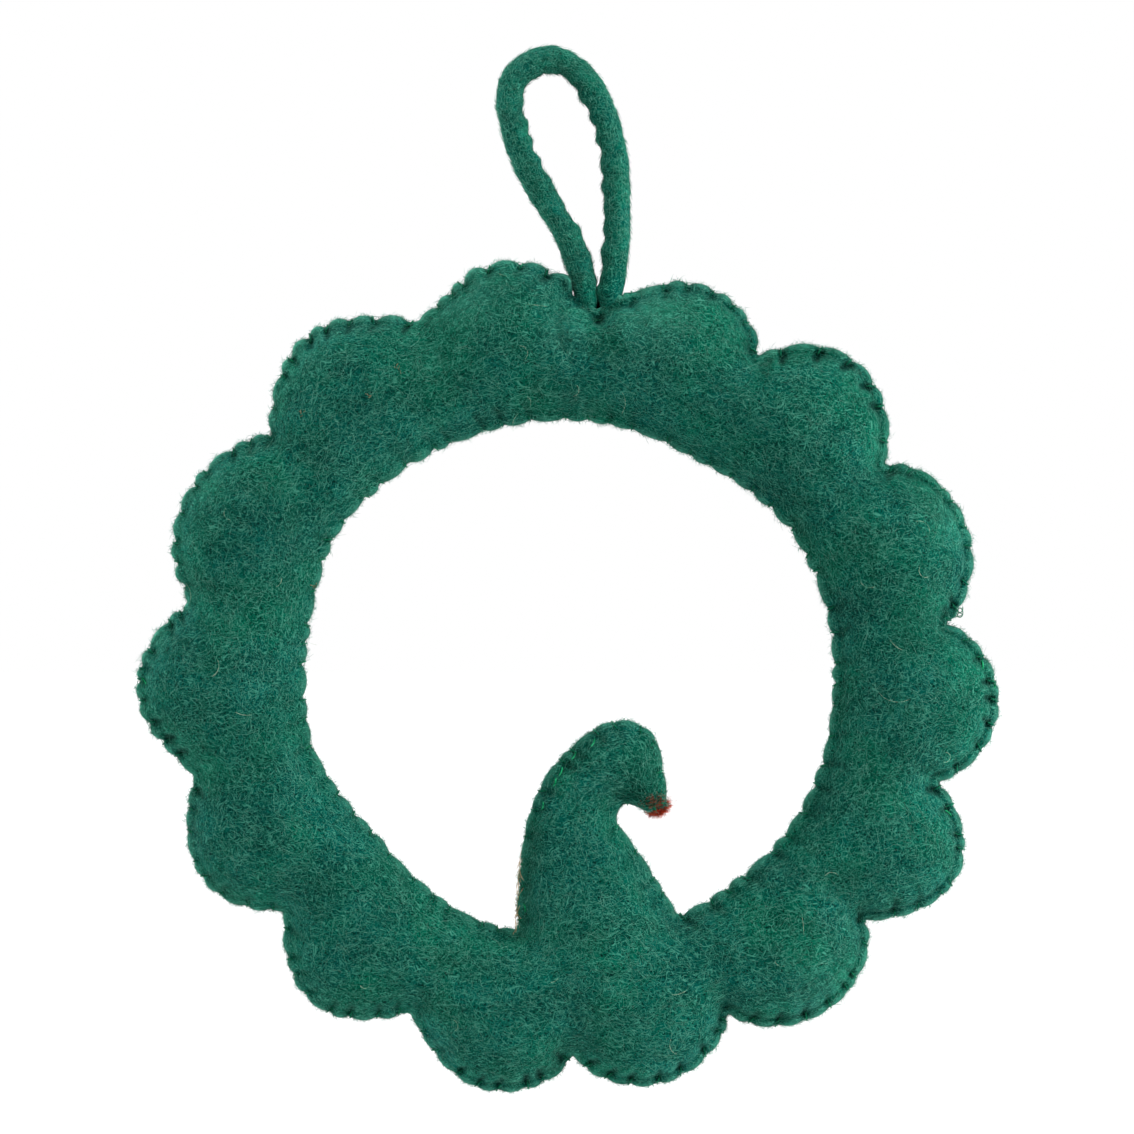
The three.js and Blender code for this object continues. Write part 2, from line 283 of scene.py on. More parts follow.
# %% The dye clouds
def make_dye_clouds():
    group, inside, outside = new_group(
        "dye_clouds",
        [("Vector", "NodeSocketVector", None), ("Size", "NodeSocketFloat", 22 * MM)],
        [("Depth", "NodeSocketFloat"), ("Warmth", "NodeSocketFloat")],
    )
    where = inside.outputs["Vector"]
    scale = math_node(group, "DIVIDE", 1.0, inside.outputs["Size"])
    broader = math_node(group, "MULTIPLY", scale, 0.4)
    streaked = vector_node(group, "MULTIPLY", where, (0.45, 1.0, 1.0))
    depth = range_node(group, noise_node(group, streaked, scale, 1, 0.5), 0.34, 0.68)
    warmth = range_node(group, noise_node(group, where, broader, 3, 0.6), 0.36, 0.64)
    fill(group, outside, depth, warmth)
    return group


dye_clouds = make_dye_clouds()
print("node groups", fibre_mat.name, dye_clouds.name)


# %% Colours
def linear(*colour):
    """A colour as a picture holds it, from 0 to 255, as the light that Blender reckons with."""
    return tuple(c / 3294.6 if c <= 10.3 else ((c / 255 + 0.055) / 1.055) ** 2.4 for c in colour) + (1,)


def mix_colours(tree, amount, first, second):
    node = tree.nodes.new("ShaderNodeMix")
    node.data_type = "RGBA"
    tree.links.new(amount, node.inputs["Factor"])
    for title, value in (("A", first), ("B", second)):
        socket = [s for s in node.inputs if s.name == title and s.type == "RGBA"][0]
        if isinstance(value, tuple):
            socket.default_value = value
        else:
            tree.links.new(value, socket)
    return [s for s in node.outputs if s.type == "RGBA"][0]


# %% The woolly material
STRANDS_SHOW = 0.7
PAINTED_LIGHT_SHARE, PAINTED_SHADE_SHARE = -0.7, 0.85
RELIEF, RELIEF_DEPTH = 0.35, 0.35 * MM


def placed_group(tree, group, **values):
    """Places a node group in a material, on Object coordinates, and gives its outputs."""
    node = tree.nodes.new("ShaderNodeGroup")
    node.node_tree = group
    set_inputs(node, **values)
    tree.links.new(tree.nodes.new("ShaderNodeTexCoord").outputs["Object"], node.inputs["Vector"])
    return node.outputs


def new_material(name):
    material = bpy.data.materials.new(name)
    material.use_nodes = True
    return material, material.node_tree, material.node_tree.nodes["Principled BSDF"]


def wool(name, deep, body, cool, strand, strand_length, strand_width,
         cloud_size=22 * MM, cloud_depth=0.5, painted_shading=False):
    material, tree, shader = new_material(name)
    mat = placed_group(tree, fibre_mat, Strand_length=strand_length, Strand_width=strand_width)
    clouds = placed_group(tree, dye_clouds, Size=cloud_size)
    shade = math_node(tree, "MULTIPLY", clouds["Depth"], cloud_depth)
    ground = mix_colours(tree, shade, mix_colours(tree, clouds["Warmth"], cool, body), deep)
    # Painted shade: the colour goes deep in the hollows between the strands.
    pitted = mix_colours(tree, mat["Hollows"], ground, deep)
    felted = mix_colours(tree, math_node(tree, "MULTIPLY", mat["Strands"], STRANDS_SHOW), pitted, strand)
    if painted_shading:
        # Painted shade and painted light: the felt is darkened in its stitch slots, groove, creases and
        # the tack's dimple and in shaded valleys, and made paler at the rim and on lit shoulders. Each
        # point carries how much: above zero is painted shade, below zero painted light.
        shading_node = tree.nodes.new("ShaderNodeAttribute")
        shading_node.attribute_name = "painted_shading"
        for share, colour in ((PAINTED_LIGHT_SHARE, strand), (PAINTED_SHADE_SHARE, deep)):
            amount = math_node(tree, "MULTIPLY", shading_node.outputs["Fac"], share)
            felted = mix_colours(tree, amount, felted, colour)
    dull = range_node(tree, mat["Strands"], 0, 1, 1.0, 0.85, smooth=False)
    bump = set_inputs(tree.nodes.new("ShaderNodeBump"), Strength=RELIEF, Distance=RELIEF_DEPTH)
    tree.links.new(felted, shader.inputs["Base Color"])
    tree.links.new(dull, shader.inputs["Roughness"])
    tree.links.new(mat["Height"], bump.inputs["Height"])
    tree.links.new(bump.outputs["Normal"], shader.inputs["Normal"])
    set_inputs(shader, Specular_IOR_Level=0.02, Sheen_Weight=0.08, Sheen_Roughness=0.5,
               Sheen_Tint=linear(150, 200, 184))
    return material


green_felt = wool(
    "green_felt", deep=linear(0, 30, 26), body=linear(0, 91, 69), cool=linear(0, 81, 72),
    strand=linear(70, 146, 124), strand_length=12 * MM, strand_width=0.19 * MM,
    cloud_size=11 * MM, cloud_depth=0.42, painted_shading=True,
)
print("materials", [m.name for m in bpy.data.materials])

# %% [markdown]
# ## The hanging loop
# The rope is wool felted into a round cord, about 9 mm thick. Both of its ends go in between the
# two layers of felt, where the stitches hold them flat. It is one piece from end to end, so it is
# swept as one tube along the line that the photograph shows. Felted rope is never quite even: it
# is a little lumpy, and it crumples on the inside of its bends, so the radius varies with noise.

# %% The rope's route
ROPE_RADIUS, ROPE_STEP = 4.65 * MM, 0.8
SEAT_GAP = 0.3 * MM
loop_route = [
    (12.4, 79.6), (10.9, 74.0), (8.8, 67.6), (6.4, 61.6), (3.1, 55.9), (-0.7, 50.0), (-4.3, 44.3),
    (-7.6, 37.9), (-10.2, 31.5), (-12.0, 25.1), (-13.4, 18.8), (-13.8, 13.1), (-12.4, 7.4), (-8.8, 3.2),
    (-4.2, 0.8), (0.0, 0.0), (4.5, 0.9), (8.8, 3.4), (12.8, 7.4), (16.2, 12.5), (18.8, 18.1),
    (20.8, 24.0), (22.5, 30.9), (23.6, 38.7), (24.0, 47.2), (24.1, 55.7), (24.0, 63.4), (23.2, 71.9),
    (22.1, 79.6),
]
free_route = [Vector((along * MM, 0, ROPE_RADIUS - drop * MM)) for along, drop in loop_route]
left_root, right_root = free_route[0], free_route[-1]
pivot = (left_root + right_root) / 2
SEAT_Z = pivot.z - ROPE_RADIUS - SEAT_GAP


def catmull(points, step):
    """Evenly spaced points on a smooth curve through the given ones."""
    fine, parts = [], 12
    for index in range(len(points) - 1):
        before, here = points[max(index - 1, 0)], points[index]
        there, after = points[index + 1], points[min(index + 2, len(points) - 1)]
        for t in (part / parts for part in range(parts)):
            fine.append(0.5 * (2 * here + (there - before) * t
                               + (2 * before - 5 * here + 4 * there - after) * t * t
                               + (3 * here - before - 3 * there + after) * t ** 3))
    fine.append(points[-1])
    return spaced(fine, step)


def spaced(points, step):
    points = np.array([tuple(p) for p in points])
    run = np.concatenate([[0], np.cumsum(np.linalg.norm(np.diff(points, axis=0), axis=1))])
    count = max(int(round(run[-1] / step)), 2) + 1
    at = np.linspace(0, run[-1], count)
    return np.column_stack([np.interp(at, run, points[:, k]) for k in range(points.shape[1])])


def route_length(points):
    return float(np.linalg.norm(np.diff(np.array(points), axis=0), axis=1).sum())


# The tails lean towards each other, as far as (sideways, down) in millimetres says.
tail_steps = [(1.0, 4.2), (2.2, 10.5), (2.2, 18.2)]
whole_route = [left_root + Vector((aside, 0, -drop)) * MM for aside, drop in tail_steps[::-1]] + free_route
whole_route += [right_root - Vector((aside, 0, drop)) * MM for aside, drop in tail_steps]
rope_line = catmull(whole_route, ROPE_STEP * MM)
whole, free = route_length(rope_line) / MM, route_length(free_route) / MM
print(f"rope {whole:.0f} mm, of which {free:.0f} mm hang free")

# %% Sweep the rope
def new_piece(name, points, faces, material):
    mesh = bpy.data.meshes.new(name)
    mesh.from_pydata([tuple(p) for p in points], [], [tuple(f) for f in faces])
    mesh.update()
    piece = bpy.data.objects.new(name, mesh)
    bpy.context.collection.objects.link(piece)
    mesh.materials.append(material)
    mesh.shade_smooth()
    return piece


def wobble(point, scale, seed):
    x, y, z = (part * scale for part in point)
    return noise.noise(Vector((x + seed, y + 2 * seed, z - seed)))


def wave(run, length, seed):
    """Smooth noise along a line, with swells of about the given length."""
    return noise.noise(Vector((run / length, seed, 0)))


ROPE_MIDDLE = Vector((5 * MM, 0, -30 * MM))
NARROWED, FLATTENED, END_SIZE = 0.28, 0.6, 0.55
CRUMPLED, LUMPY, FINE_LUMPS = 0.28, 0.07, 0.03


def rope_surface(line, sides):
    """Rings of points round the line, flattened where the rope lies between the felts."""
    rings = []
    for index, centre in enumerate(line):
        tangent = Vector(line[min(index + 1, len(line) - 1)] - line[max(index - 1, 0)]).normalized()
        outwards = Vector((tangent.z, 0, -tangent.x))
        inner_side = outwards if (ROPE_MIDDLE - Vector(centre)).dot(outwards) > 0 else -outwards
        sunk = min(max((SEAT_Z + 2 * MM - centre[2]) / (9 * MM), 0), 1)
        sunk = sunk * sunk * (3 - 2 * sunk)
        wide, thick = ROPE_RADIUS * (1 - NARROWED * sunk), ROPE_RADIUS * (1 - FLATTENED * sunk)
        if index in (0, len(line) - 1):
            wide, thick = wide * END_SIZE, thick * END_SIZE
        run = index * ROPE_STEP
        slow = 1.0 + 0.05 * wave(run, 11, 3.7) + 0.05 * wave(run, 4.5, 9.1)
        ring = []
        for side in range(sides):
            turn = 2 * math.pi * side / sides
            way = outwards * math.cos(turn) * wide + Vector((0, 1, 0)) * math.sin(turn) * thick
            towards_inside = max(way.normalized().dot(inner_side), 0)
            crumple = CRUMPLED * towards_inside * wave(run, 4.5, 21.3)
            spot = Vector(centre) + way
            lump = LUMPY * wobble(spot, 250, 4) + FINE_LUMPS * wobble(spot, 520, 8)
            ring.append(Vector(centre) + way * (slow + crumple + lump))
        rings.append(ring)
    return rings


def tube_faces(count, sides):
    faces = []
    for ring in range(count - 1):
        for side in range(sides):
            a, b = ring * sides + side, ring * sides + (side + 1) % sides
            faces.append((a, b, b + sides, a + sides))
    faces.append(tuple(reversed(range(sides))))
    faces.append(tuple(range((count - 1) * sides, count * sides)))
    return faces


ROPE_SIDES = 32
rings = rope_surface(rope_line, ROPE_SIDES)
rope_felt = wool(
    "rope_felt", deep=linear(0, 42, 36), body=linear(8, 97, 76), cool=linear(0, 87, 75),
    strand=linear(64, 142, 120), strand_length=7 * MM, strand_width=0.18 * MM,
    cloud_size=5 * MM, cloud_depth=0.5,
)
rope_points = [p for ring in rings for p in ring]
rope = new_piece("felt_rope", rope_points, tube_faces(len(rings), ROPE_SIDES), rope_felt)
print("rope", len(rope.data.polygons), "faces")


def face_out(piece):
    """Turns every face of a closed piece outwards."""
    bpy.ops.object.select_all(action="DESELECT")
    bpy.context.view_layer.objects.active = piece
    piece.select_set(True)
    bpy.ops.object.mode_set(mode="EDIT")
    bpy.ops.mesh.select_all(action="SELECT")
    bpy.ops.mesh.normals_make_consistent(inside=False)
    bpy.ops.object.mode_set(mode="OBJECT")
    piece.select_set(False)


face_out(rope)
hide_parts("hanging_loop", "loop_tail_left", "loop_tail_right")
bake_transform(rope)

# %% [markdown]
# ## The scalloped outline
# The felt is cut in fourteen lobes. Each notch between two lobes has its place round the ring
# and its reach from the centre, and a lobe swells between two notches like a rounded sine wave.
# The hat stands on the inner edge, and one line runs round the opening and up over the hat.

# %% The cut line in millimetres
OUTER, INNER = 152.5, 93.0
notch_turns = [
    0.024, 0.096, 0.166, 0.238, 0.3125, 0.39, 0.467, 0.539, 0.608, 0.679, 0.752, 0.8215, 0.892, 0.958,
]
notch_reach = [
    0.89, 0.893, 0.877, 0.891, 0.907, 0.902, 0.904, 0.897, 0.853, 0.854, 0.868, 0.856, 0.885, 0.89,
]
crest_reach = [
    0.99, 1, 0.973, 0.987, 1.01, 0.99, 1.003, 0.97, 0.957, 0.972, 0.958, 0.972, 1.01, 1,
]
inner_reach = [
    1.014, 1.018, 0.968, 0.99, 1, 1.035, 1.005, 0.994, 0.93, 0.957, 0.973, 0.979, 1, 1.012,
]
# How each lobe leans towards its far notch (above 1) or its near one, and how round it is:
# a high number is pointed, a low one full.
lobe_lean = [1.15, 1.08, 0.8, 1.0, 1.0, 1.05, 1.0, 1.2, 1.05, 1.2, 1.0, 1.0, 1.05, 1.0]
lobe_point = [0.62, 0.75, 0.85, 1.0, 0.95, 0.75, 0.95, 0.8, 0.9, 0.8, 0.7, 0.65, 0.85, 0.7]
LOOP_NOTCH = 3
LOBES = len(notch_turns)
seat = np.array([pivot.x, SEAT_Z]) / MM
notch_angle = 2 * math.pi * notch_turns[LOOP_NOTCH]
notch_way = np.array([math.cos(notch_angle), math.sin(notch_angle)])
ring_centre = seat - OUTER * notch_reach[LOOP_NOTCH] * notch_way


def ring_point(reach, turn):
    angle = 2 * math.pi * turn
    return ring_centre + reach * np.array([math.cos(angle), math.sin(angle)])


def ring_edges(steps=24):
    outer, inner = [], []
    for lobe in range(LOBES):
        following = (lobe + 1) % LOBES
        end_turn = notch_turns[following] + (1 if following == 0 else 0)
        mean = (notch_reach[lobe] + notch_reach[following]) / 2
        for step in range(steps):
            share = step / steps
            turn = notch_turns[lobe] + (end_turn - notch_turns[lobe]) * share
            valley = notch_reach[lobe] + (notch_reach[following] - notch_reach[lobe]) * share
            swell = math.sin(math.pi * share ** lobe_lean[lobe]) ** lobe_point[lobe]
            near = inner_reach[lobe] + (inner_reach[following] - inner_reach[lobe]) * share
            outer.append(ring_point(OUTER * (valley + (crest_reach[lobe] - mean) * swell), turn))
            inner.append(ring_point(INNER * near, turn))
    return np.array(outer), np.array(inner)


def hill(gap, reach):
    """1 where the gap is nothing, and next to nothing past twice the reach."""
    return np.exp(-(gap / reach) ** 2)


def hill_at(points, place, reach):
    return hill(np.linalg.norm(points - place, axis=1), reach)


# Small departures of the hand cut edges from that rule: where, how far away from the ring's
# centre the edge moves there (a minus is nearer), and over what reach. All are in millimetres.
outer_nudges = [
    (31, -75, -2.7, 12), (-65, -86, -1.4, 14), (-37, -77, -1.6, 7), (-128, -182, -1.1, 8),
    (-134, -237, -1.1, 10), (-101, -296, -0.9, 8), (-65, -334, -1.1, 14), (148, -173, 1.3, 15),
    (82, -97, -0.6, 8), (124, -139, -0.8, 6), (-14, -360, -1.2, 10),
]
opening_nudges = [
    (-76, -167, 1.5, 14), (-83, -238, 0.8, 14), (-28, -298, 0.7, 12), (98, -222, -0.9, 22),
    (67, -282, -0.6, 12),
]


def nudged(loop, nudges):
    for x, z, far, reach in nudges:
        away = loop - ring_centre
        near = hill_at(loop, (x, z), reach)
        loop = loop + away / np.linalg.norm(away, axis=1)[:, None] * (far * near)[:, None]
    return loop


outer_cut, ring_opening = ring_edges()
outer_cut, ring_opening = nudged(outer_cut, outer_nudges), nudged(ring_opening, opening_nudges)
print(f"ring centre {ring_centre.round(1)}, {LOBES} lobes")

# %% The hat's outline
HAT_WIDTH, HAT_HEIGHT = 55.6, 74.0
hat_foot = ring_point(INNER * inner_reach[10], 0.718)
hat_outer = [
    (-0.01, -0.29), (-0.01, 0), (0.0, 0.19), (0.02, 0.371), (0.05, 0.505), (0.1, 0.629), (0.19, 0.762),
    (0.33, 0.881), (0.525, 0.992), (0.72, 1.01), (0.875, 0.935), (0.935, 0.765), (0.95, 0.657),
    (0.955, 0.605),
]
hat_hooked = [
    (1.12, -0.29), (1.02, 0.067), (0.92, 0.21), (0.797, 0.357), (0.675, 0.486), (0.632, 0.548),
    (0.65, 0.59), (0.688, 0.605), (0.726, 0.605), (0.758, 0.597), (0.783, 0.59), (0.803, 0.581),
    (0.828, 0.574), (0.873, 0.572),
]


def hat_line(shares):
    corners = [hat_foot + np.array([HAT_WIDTH * across, HAT_HEIGHT * up]) for across, up in shares]
    return catmull([Vector((*corner, 0)) for corner in corners], 1.0)[:, :2]


def inside(points, loop):
    """Which points lie in a closed loop, by counting the edges that a ray crosses."""
    start, end = loop, np.roll(loop, -1, axis=0)
    within = np.zeros(len(points), bool)
    for (x0, z0), (x1, z1) in zip(start, end):
        crosses = (z0 > points[:, 1]) != (z1 > points[:, 1])
        with np.errstate(divide="ignore", invalid="ignore"):
            meet = (x1 - x0) * (points[:, 1] - z0) / (z1 - z0) + x0
        within ^= crosses & (points[:, 0] < meet)
    return within


hat_edge = np.concatenate([hat_line(hat_outer), hat_line(hat_hooked)[::-1]])
shows = np.flatnonzero(inside(hat_edge, ring_opening))
hat_edge = hat_edge[shows[0]:shows[-1] + 1]


def turn_of(points):
    from_centre = np.atleast_2d(points) - ring_centre
    return (np.arctan2(from_centre[:, 1], from_centre[:, 0]) / (2 * math.pi)) % 1


left_turn, right_turn = turn_of(hat_edge[0])[0], turn_of(hat_edge[-1])[0]
opening_turns = turn_of(ring_opening)
beside_hat = (opening_turns < left_turn) | (opening_turns > right_turn)
open_part = ring_opening[beside_hat]
order = np.argsort((opening_turns[beside_hat] - right_turn) % 1)
inner_cut = np.concatenate([open_part[order], hat_edge])
print(f"the hat leaves the ring from {left_turn:.3f} to {right_turn:.3f} of a turn")

# %% [markdown]
# ## Overcast stitches
# The two edges are held by stitches that go over and over the rim, 7 to 11 mm apart. Each one
# pulls the soft felt in, and between two stitches it puffs out in a bead. So the cut line is
# walked in stitches first, and the beads are then given to it between them. Where the photograph
# shows a stitch plainly, it has its own place.
# The stitches are a little uneven, as hand sewing is. A seeded generator keeps them the same
# on every run.

# %% Walk the edges in stitches
SEAM, FELT = 2.4, 2.5
RIM_STEP = 0.9
OUTER_PITCH, INNER_PITCH, UNEVEN, KEEP_APART = 9.2, 9.4, 0.26, 0.6
chance = np.random.default_rng(1225)

# Where the photograph shows a stitch plainly.
plain_stitches = [
    (-39.5, -82.9), (-30.4, -73.7), (-22.0, -68.9), (-10.3, -68.6), (-0.6, -72.5), (82.4, -100.2),
    (95.7, -101.1), (105.4, -104.0), (110.9, -112.5), (115.2, -119.3), (146.2, -180.2), (143.0, -188.4),
    (140.6, -193.2), (-125.7, -145.9), (-120.8, -140.8), (-111.7, -134.7), (-143.3, -215.2),
    (-141.0, -221.0), (-137.5, -227.6), (-133.7, -233.6), (-129.5, -239.4),
]


def along_loop(loop):
    """Even points round a closed loop, each given once."""
    return spaced(np.vstack([loop, loop[:1]]), RIM_STEP)[:-1]


def in_parts(count, size=2000):
    """Slices of a long list, so that a table of all against all fits in memory."""
    return [slice(first, first + size) for first in range(0, count, size)]


class Edge:
    """One sewn edge: evenly spaced points, the way along it, and its stitches."""

    def __init__(self, loop, pitch, puff, outwards, placed=()):
        self.points = along_loop(loop)
        self.length = route_length(np.vstack([self.points, loop[:1]]))
        self.run = np.linspace(0, self.length, len(self.points) + 1)[:-1]
        tangent = np.roll(self.points, -2, axis=0) - np.roll(self.points, 2, axis=0)
        tangent /= np.linalg.norm(tangent, axis=1)[:, None]
        self.tangent = tangent
        self.outward = outwards * np.column_stack([tangent[:, 1], -tangent[:, 0]])
        count = int(round(self.length / pitch))
        stitches = (np.arange(count) + chance.uniform(-UNEVEN, UNEVEN, count)) * self.length / count
        for place in placed:
            run = self.run[((self.points - place) ** 2).sum(axis=1).argmin()]
            apart = np.abs((stitches - run + self.length / 2) % self.length - self.length / 2)
            stitches = np.append(stitches[(apart > KEEP_APART * pitch) | np.isin(stitches, self.run)], run)
        self.stitches = np.sort(stitches)
        self.puff = np.array([puff(self.at(s)) for s in self.stitches])
        self.puff *= chance.uniform(0.6, 1.2, len(self.stitches))

    def index(self, run):
        count = len(self.points)
        return np.round(np.asarray(run) % self.length / self.length * count).astype(int) % count

    def at(self, run):
        return self.points[self.index(run)]

    def bead(self, run):
        """0 at a stitch, 1 halfway to the next, and the size of the bead there."""
        run, places = np.asarray(run) % self.length, self.stitches % self.length
        after = np.searchsorted(np.sort(places), run)
        ordered = np.argsort(places)
        first, second = ordered[(after - 1) % len(ordered)], ordered[after % len(ordered)]
        start, end = places[first], places[second]
        gap = (end - start) % self.length
        share = ((run - start) % self.length) / gap
        return np.sin(np.pi * np.clip(share, 0, 1)) ** 0.75, self.puff[first]

    def run_near(self, places):
        """How far along the edge each place is, by the nearest of the edge's own points."""
        runs = np.zeros(len(places))
        for part in in_parts(len(places)):
            far = ((places[part][:, None, :] - self.points[None]) ** 2).sum(axis=2)
            runs[part] = self.run[far.argmin(axis=1)]
        return runs

    def beaded(self):
        """The cut line with its beads: they stand out, and the thread draws the rest of it in."""
        height, size = self.bead(self.run)
        return self.points + self.outward * ((height - 0.7) * size - 0.25)[:, None]


# How far the beads puff out, in millimetres: on each lobe, beside the rope as a share of that, on
# the hat, and round the opening where they are plain to see or not.
lobe_puffs = [1.3, 1.5, 1.7, 2.6, 2.7, 2.5, 1.8, 1.6, 1.5, 1.4, 1.4, 1.2, 1.3, 1.3]
ROPE_SHARE, HAT_PUFF, PLAIN_PUFF, SMALL_PUFF = 0.35, 0.8, 1.9, 1.4


def outer_puff(point):
    turn = turn_of(point)[0]
    lobe = sum(1 for notch in notch_turns if notch <= turn) - 1
    by_rope = 0 < point[0] - seat[0] < 28 and point[1] > seat[1] - 6
    return lobe_puffs[lobe] * (ROPE_SHARE if by_rope else 1)


def inner_puff(point):
    turn, reach = turn_of(point)[0], np.linalg.norm(point - ring_centre)
    if reach < INNER * 0.9:
        return HAT_PUFF
    return PLAIN_PUFF if turn < 0.12 or turn > 0.85 or 0.3 < turn < 0.5 else SMALL_PUFF


outer_edge = Edge(outer_cut, OUTER_PITCH, outer_puff, 1, plain_stitches)
inner_edge = Edge(inner_cut, INNER_PITCH, inner_puff, -1)
edges = [outer_edge, inner_edge]
print(f"{len(outer_edge.stitches)} stitches outside, {len(inner_edge.stitches)} round the opening and hat")

# %% Keep the rope's way clear
strand_z = np.array([p.z for p in free_route]) / MM
strand_x = np.array([p.x for p in free_route]) / MM
ROPE_ROOM, NEAR_ROPE = 4.0, 30


def clear_of_rope(points):
    """Moves points above the seat aside from the two strands."""
    points = points.copy()
    high = points[:, 1] > seat[1]
    near = np.abs(points[:, 0] - seat[0]) < NEAR_ROPE
    left_wall = np.interp(points[:, 1], strand_z[:8], strand_x[:8]) - ROPE_ROOM
    right_wall = np.interp(points[:, 1], strand_z[-8:][::-1], strand_x[-8:][::-1]) + ROPE_ROOM
    left = high & near & (points[:, 0] < seat[0])
    right = high & near & (points[:, 0] >= seat[0])
    points[left, 0] = np.minimum(points[left, 0], left_wall[left])
    points[right, 0] = np.maximum(points[right, 0], right_wall[right])
    return points


SEAT_HALF, V_LIFT, V_DEPTH, V_WIDTH = 10.4, 1.2, 5.2, 4.2


def lip(points):
    """Walks the rim again at the rope: up over its outer sides, and down in a V between them."""
    closed = along_loop(points)
    aside = closed[:, 0] - seat[0]
    below = (np.abs(aside) < SEAT_HALF) & (np.abs(closed[:, 1] - seat[1]) < 0.4)
    ripple = 0.5 * np.sin(aside * 0.9 + 2) + 0.3 * np.sin(aside * 2.1)
    closed[below, 1] += (V_LIFT - V_DEPTH * hill(aside, V_WIDTH) + ripple)[below]
    return along_loop(closed)


rims = [lip(clear_of_rope(outer_edge.beaded())), inner_edge.beaded()]
print("rim", [len(rim) for rim in rims], "points")

# %% [markdown]
# ## How far the stuffing swells
# A stuffed form is lowest at its seams and fullest where it is widest, like a soap film blown up
# over the outline. That film has a simple rule: each point is a little higher than the mean of
# its neighbours. So a grid of heights over the outline is averaged until it settles. The square
# root of such a film has the steep sides and flat crown of a well filled cushion.

# %% Distance to the sewn edge
def nearest_edge(points, loops):
    """For each point: its distance to the nearest loop, which loop, and how far along it."""
    best = np.full(len(points), 1e9)
    which = np.zeros(len(points), int)
    along = np.zeros(len(points))
    for number, loop in enumerate(loops):
        start, step = loop, np.roll(loop, -1, axis=0) - loop
        squares = np.maximum((step ** 2).sum(axis=1), 1e-12)
        for part in in_parts(len(points)):
            offset = points[part][:, None, :] - start[None]
            share = np.clip((offset * step).sum(axis=2) / squares, 0, 1)
            gap = offset - share[:, :, None] * step
            far = np.sqrt((gap ** 2).sum(axis=2))
            pick = far.argmin(axis=1)
            rows = np.arange(len(far))
            value = far[rows, pick]
            better = value < best[part]
            target = np.flatnonzero(better) + part.start
            best[target] = value[better]
            which[target] = number
            along[target] = (pick + share[rows, pick])[better]
    return best, which, along


def within_felt(points, loops):
    return inside(points, loops[0]) & ~inside(points, loops[1])


# %% The film over the outline
CELL = 1.5
FILM_SWEEPS, SPREAD_SWEEPS = 2200, 30
FOUR_WAYS = ((0, 1), (0, -1), (1, 1), (1, -1))
plain_loops = [clear_of_rope(outer_edge.points), inner_edge.points]
low = plain_loops[0].min(axis=0) - 3 * CELL
high = plain_loops[0].max(axis=0) + 3 * CELL
columns, rows = (int(math.ceil(size)) for size in (high - low) / CELL)
across, up = low[0] + CELL * np.arange(columns), low[1] + CELL * np.arange(rows)
grid_x, grid_z = np.meshgrid(across, up, indexing="ij")
cells = np.column_stack([grid_x.ravel(), grid_z.ravel()])
cell_gap = (nearest_edge(cells, plain_loops)[0] - SEAM).reshape(columns, rows)
cell_gap[~within_felt(cells, plain_loops).reshape(columns, rows)] = -1
loose = cell_gap > 0
film = np.zeros((columns, rows))
for sweep in range(FILM_SWEEPS):
    mean = (np.roll(film, 1, 0) + np.roll(film, -1, 0) + np.roll(film, 1, 1) + np.roll(film, -1, 1)) / 4
    film = np.where(loose, mean + CELL * CELL / 4, 0)
slope = np.where(loose, film / np.maximum(cell_gap, CELL / 2), 0)
known = loose.astype(float)
for sweep in range(SPREAD_SWEEPS):
    spread, weight = np.zeros_like(slope), np.zeros_like(slope)
    for axis, shift in FOUR_WAYS:
        spread += np.roll(slope * known, shift, axis)
        weight += np.roll(known, shift, axis)
    filled = spread / np.maximum(weight, 1e-9)
    smooth = 0.5 * slope + 0.5 * filled
    slope = np.where(known > 0, np.where(weight > 0, smooth, slope), filled)
    known = np.where(weight > 0, 1.0, known)
print(f"film over {int(loose.sum())} cells, {film.max():.0f} at its highest")


def sample(grid, points):
    """The grid's value at each point, between its four cells."""
    place = (points - low) / CELL
    corner = np.clip(np.floor(place).astype(int), 0, [columns - 2, rows - 2])
    part = np.clip(place - corner, 0, 1)
    x, z = corner[:, 0], corner[:, 1]
    bottom = grid[x, z] * (1 - part[:, 0]) + grid[x + 1, z] * part[:, 0]
    top = grid[x, z + 1] * (1 - part[:, 0]) + grid[x + 1, z + 1] * part[:, 0]
    return bottom * (1 - part[:, 1]) + top * part[:, 1]


# %% [markdown]
# ## The height of the felt
# From the rim inwards, the felt is first a soft lip of two edges pressed together, with a bead
# between every two stitches and a slot where each stitch goes in. A groove parts the lip from the
# dome, deepest where the thread was drawn tight. Then the felt climbs over the stuffing.
# The pull of the stitches reaches a little way up the slope as shallow gathers, and a tack under
# the loop draws a dimple.

# %% Height over the middle plane
CROWN = 15.4
PIT_INSET, SLOT_END, SLOT_WIDTH, TIGHTER = 3.9, 1.6, 1.25, 2.0
DOME_START = 3.2
GROOVE, GROOVE_DEPTH, GROOVE_WIDTH = 3.3, 1.3, 0.85
LIP_ROUND, LIP_SHARE, BEAD_RISE = 2.6, 0.62, 0.4
MIDDLE_GAP, LEAST_FELT = 0.15, 0.25
TACK = np.array([17.3, -87.8])
TACK_DIMPLES = ((5.5, 2.2), (2.0, 8))
# Where the stitches are tightest: x, z and how far round.
tight_spots = [
    (-134, -233, 9), (142.5, -189, 5), (-52, -87, 7), (100, -103, 16), (113, -116, 9), (4, -74, 6),
]
# How deep the felt is drawn in from each notch towards the middle of the ring.
notch_pull = [2.2, 2.6, 2.8, 1.2, 2.4, 1.8, 1.4, 1.6, 1.8, 1.6, 2.0, 2.4, 2.0, 2.2]


def pit_places(edge):
    """The inner and outer end of the slot that each stitch presses into the felt."""
    spots, ends = edge.index(edge.stitches + 1.5), edge.index(edge.stitches + 0.3)
    inner = edge.points[spots] - edge.outward[spots] * (PIT_INSET + SLOT_END)
    outer = edge.points[ends] - edge.outward[ends] * GROOVE
    return inner, outer


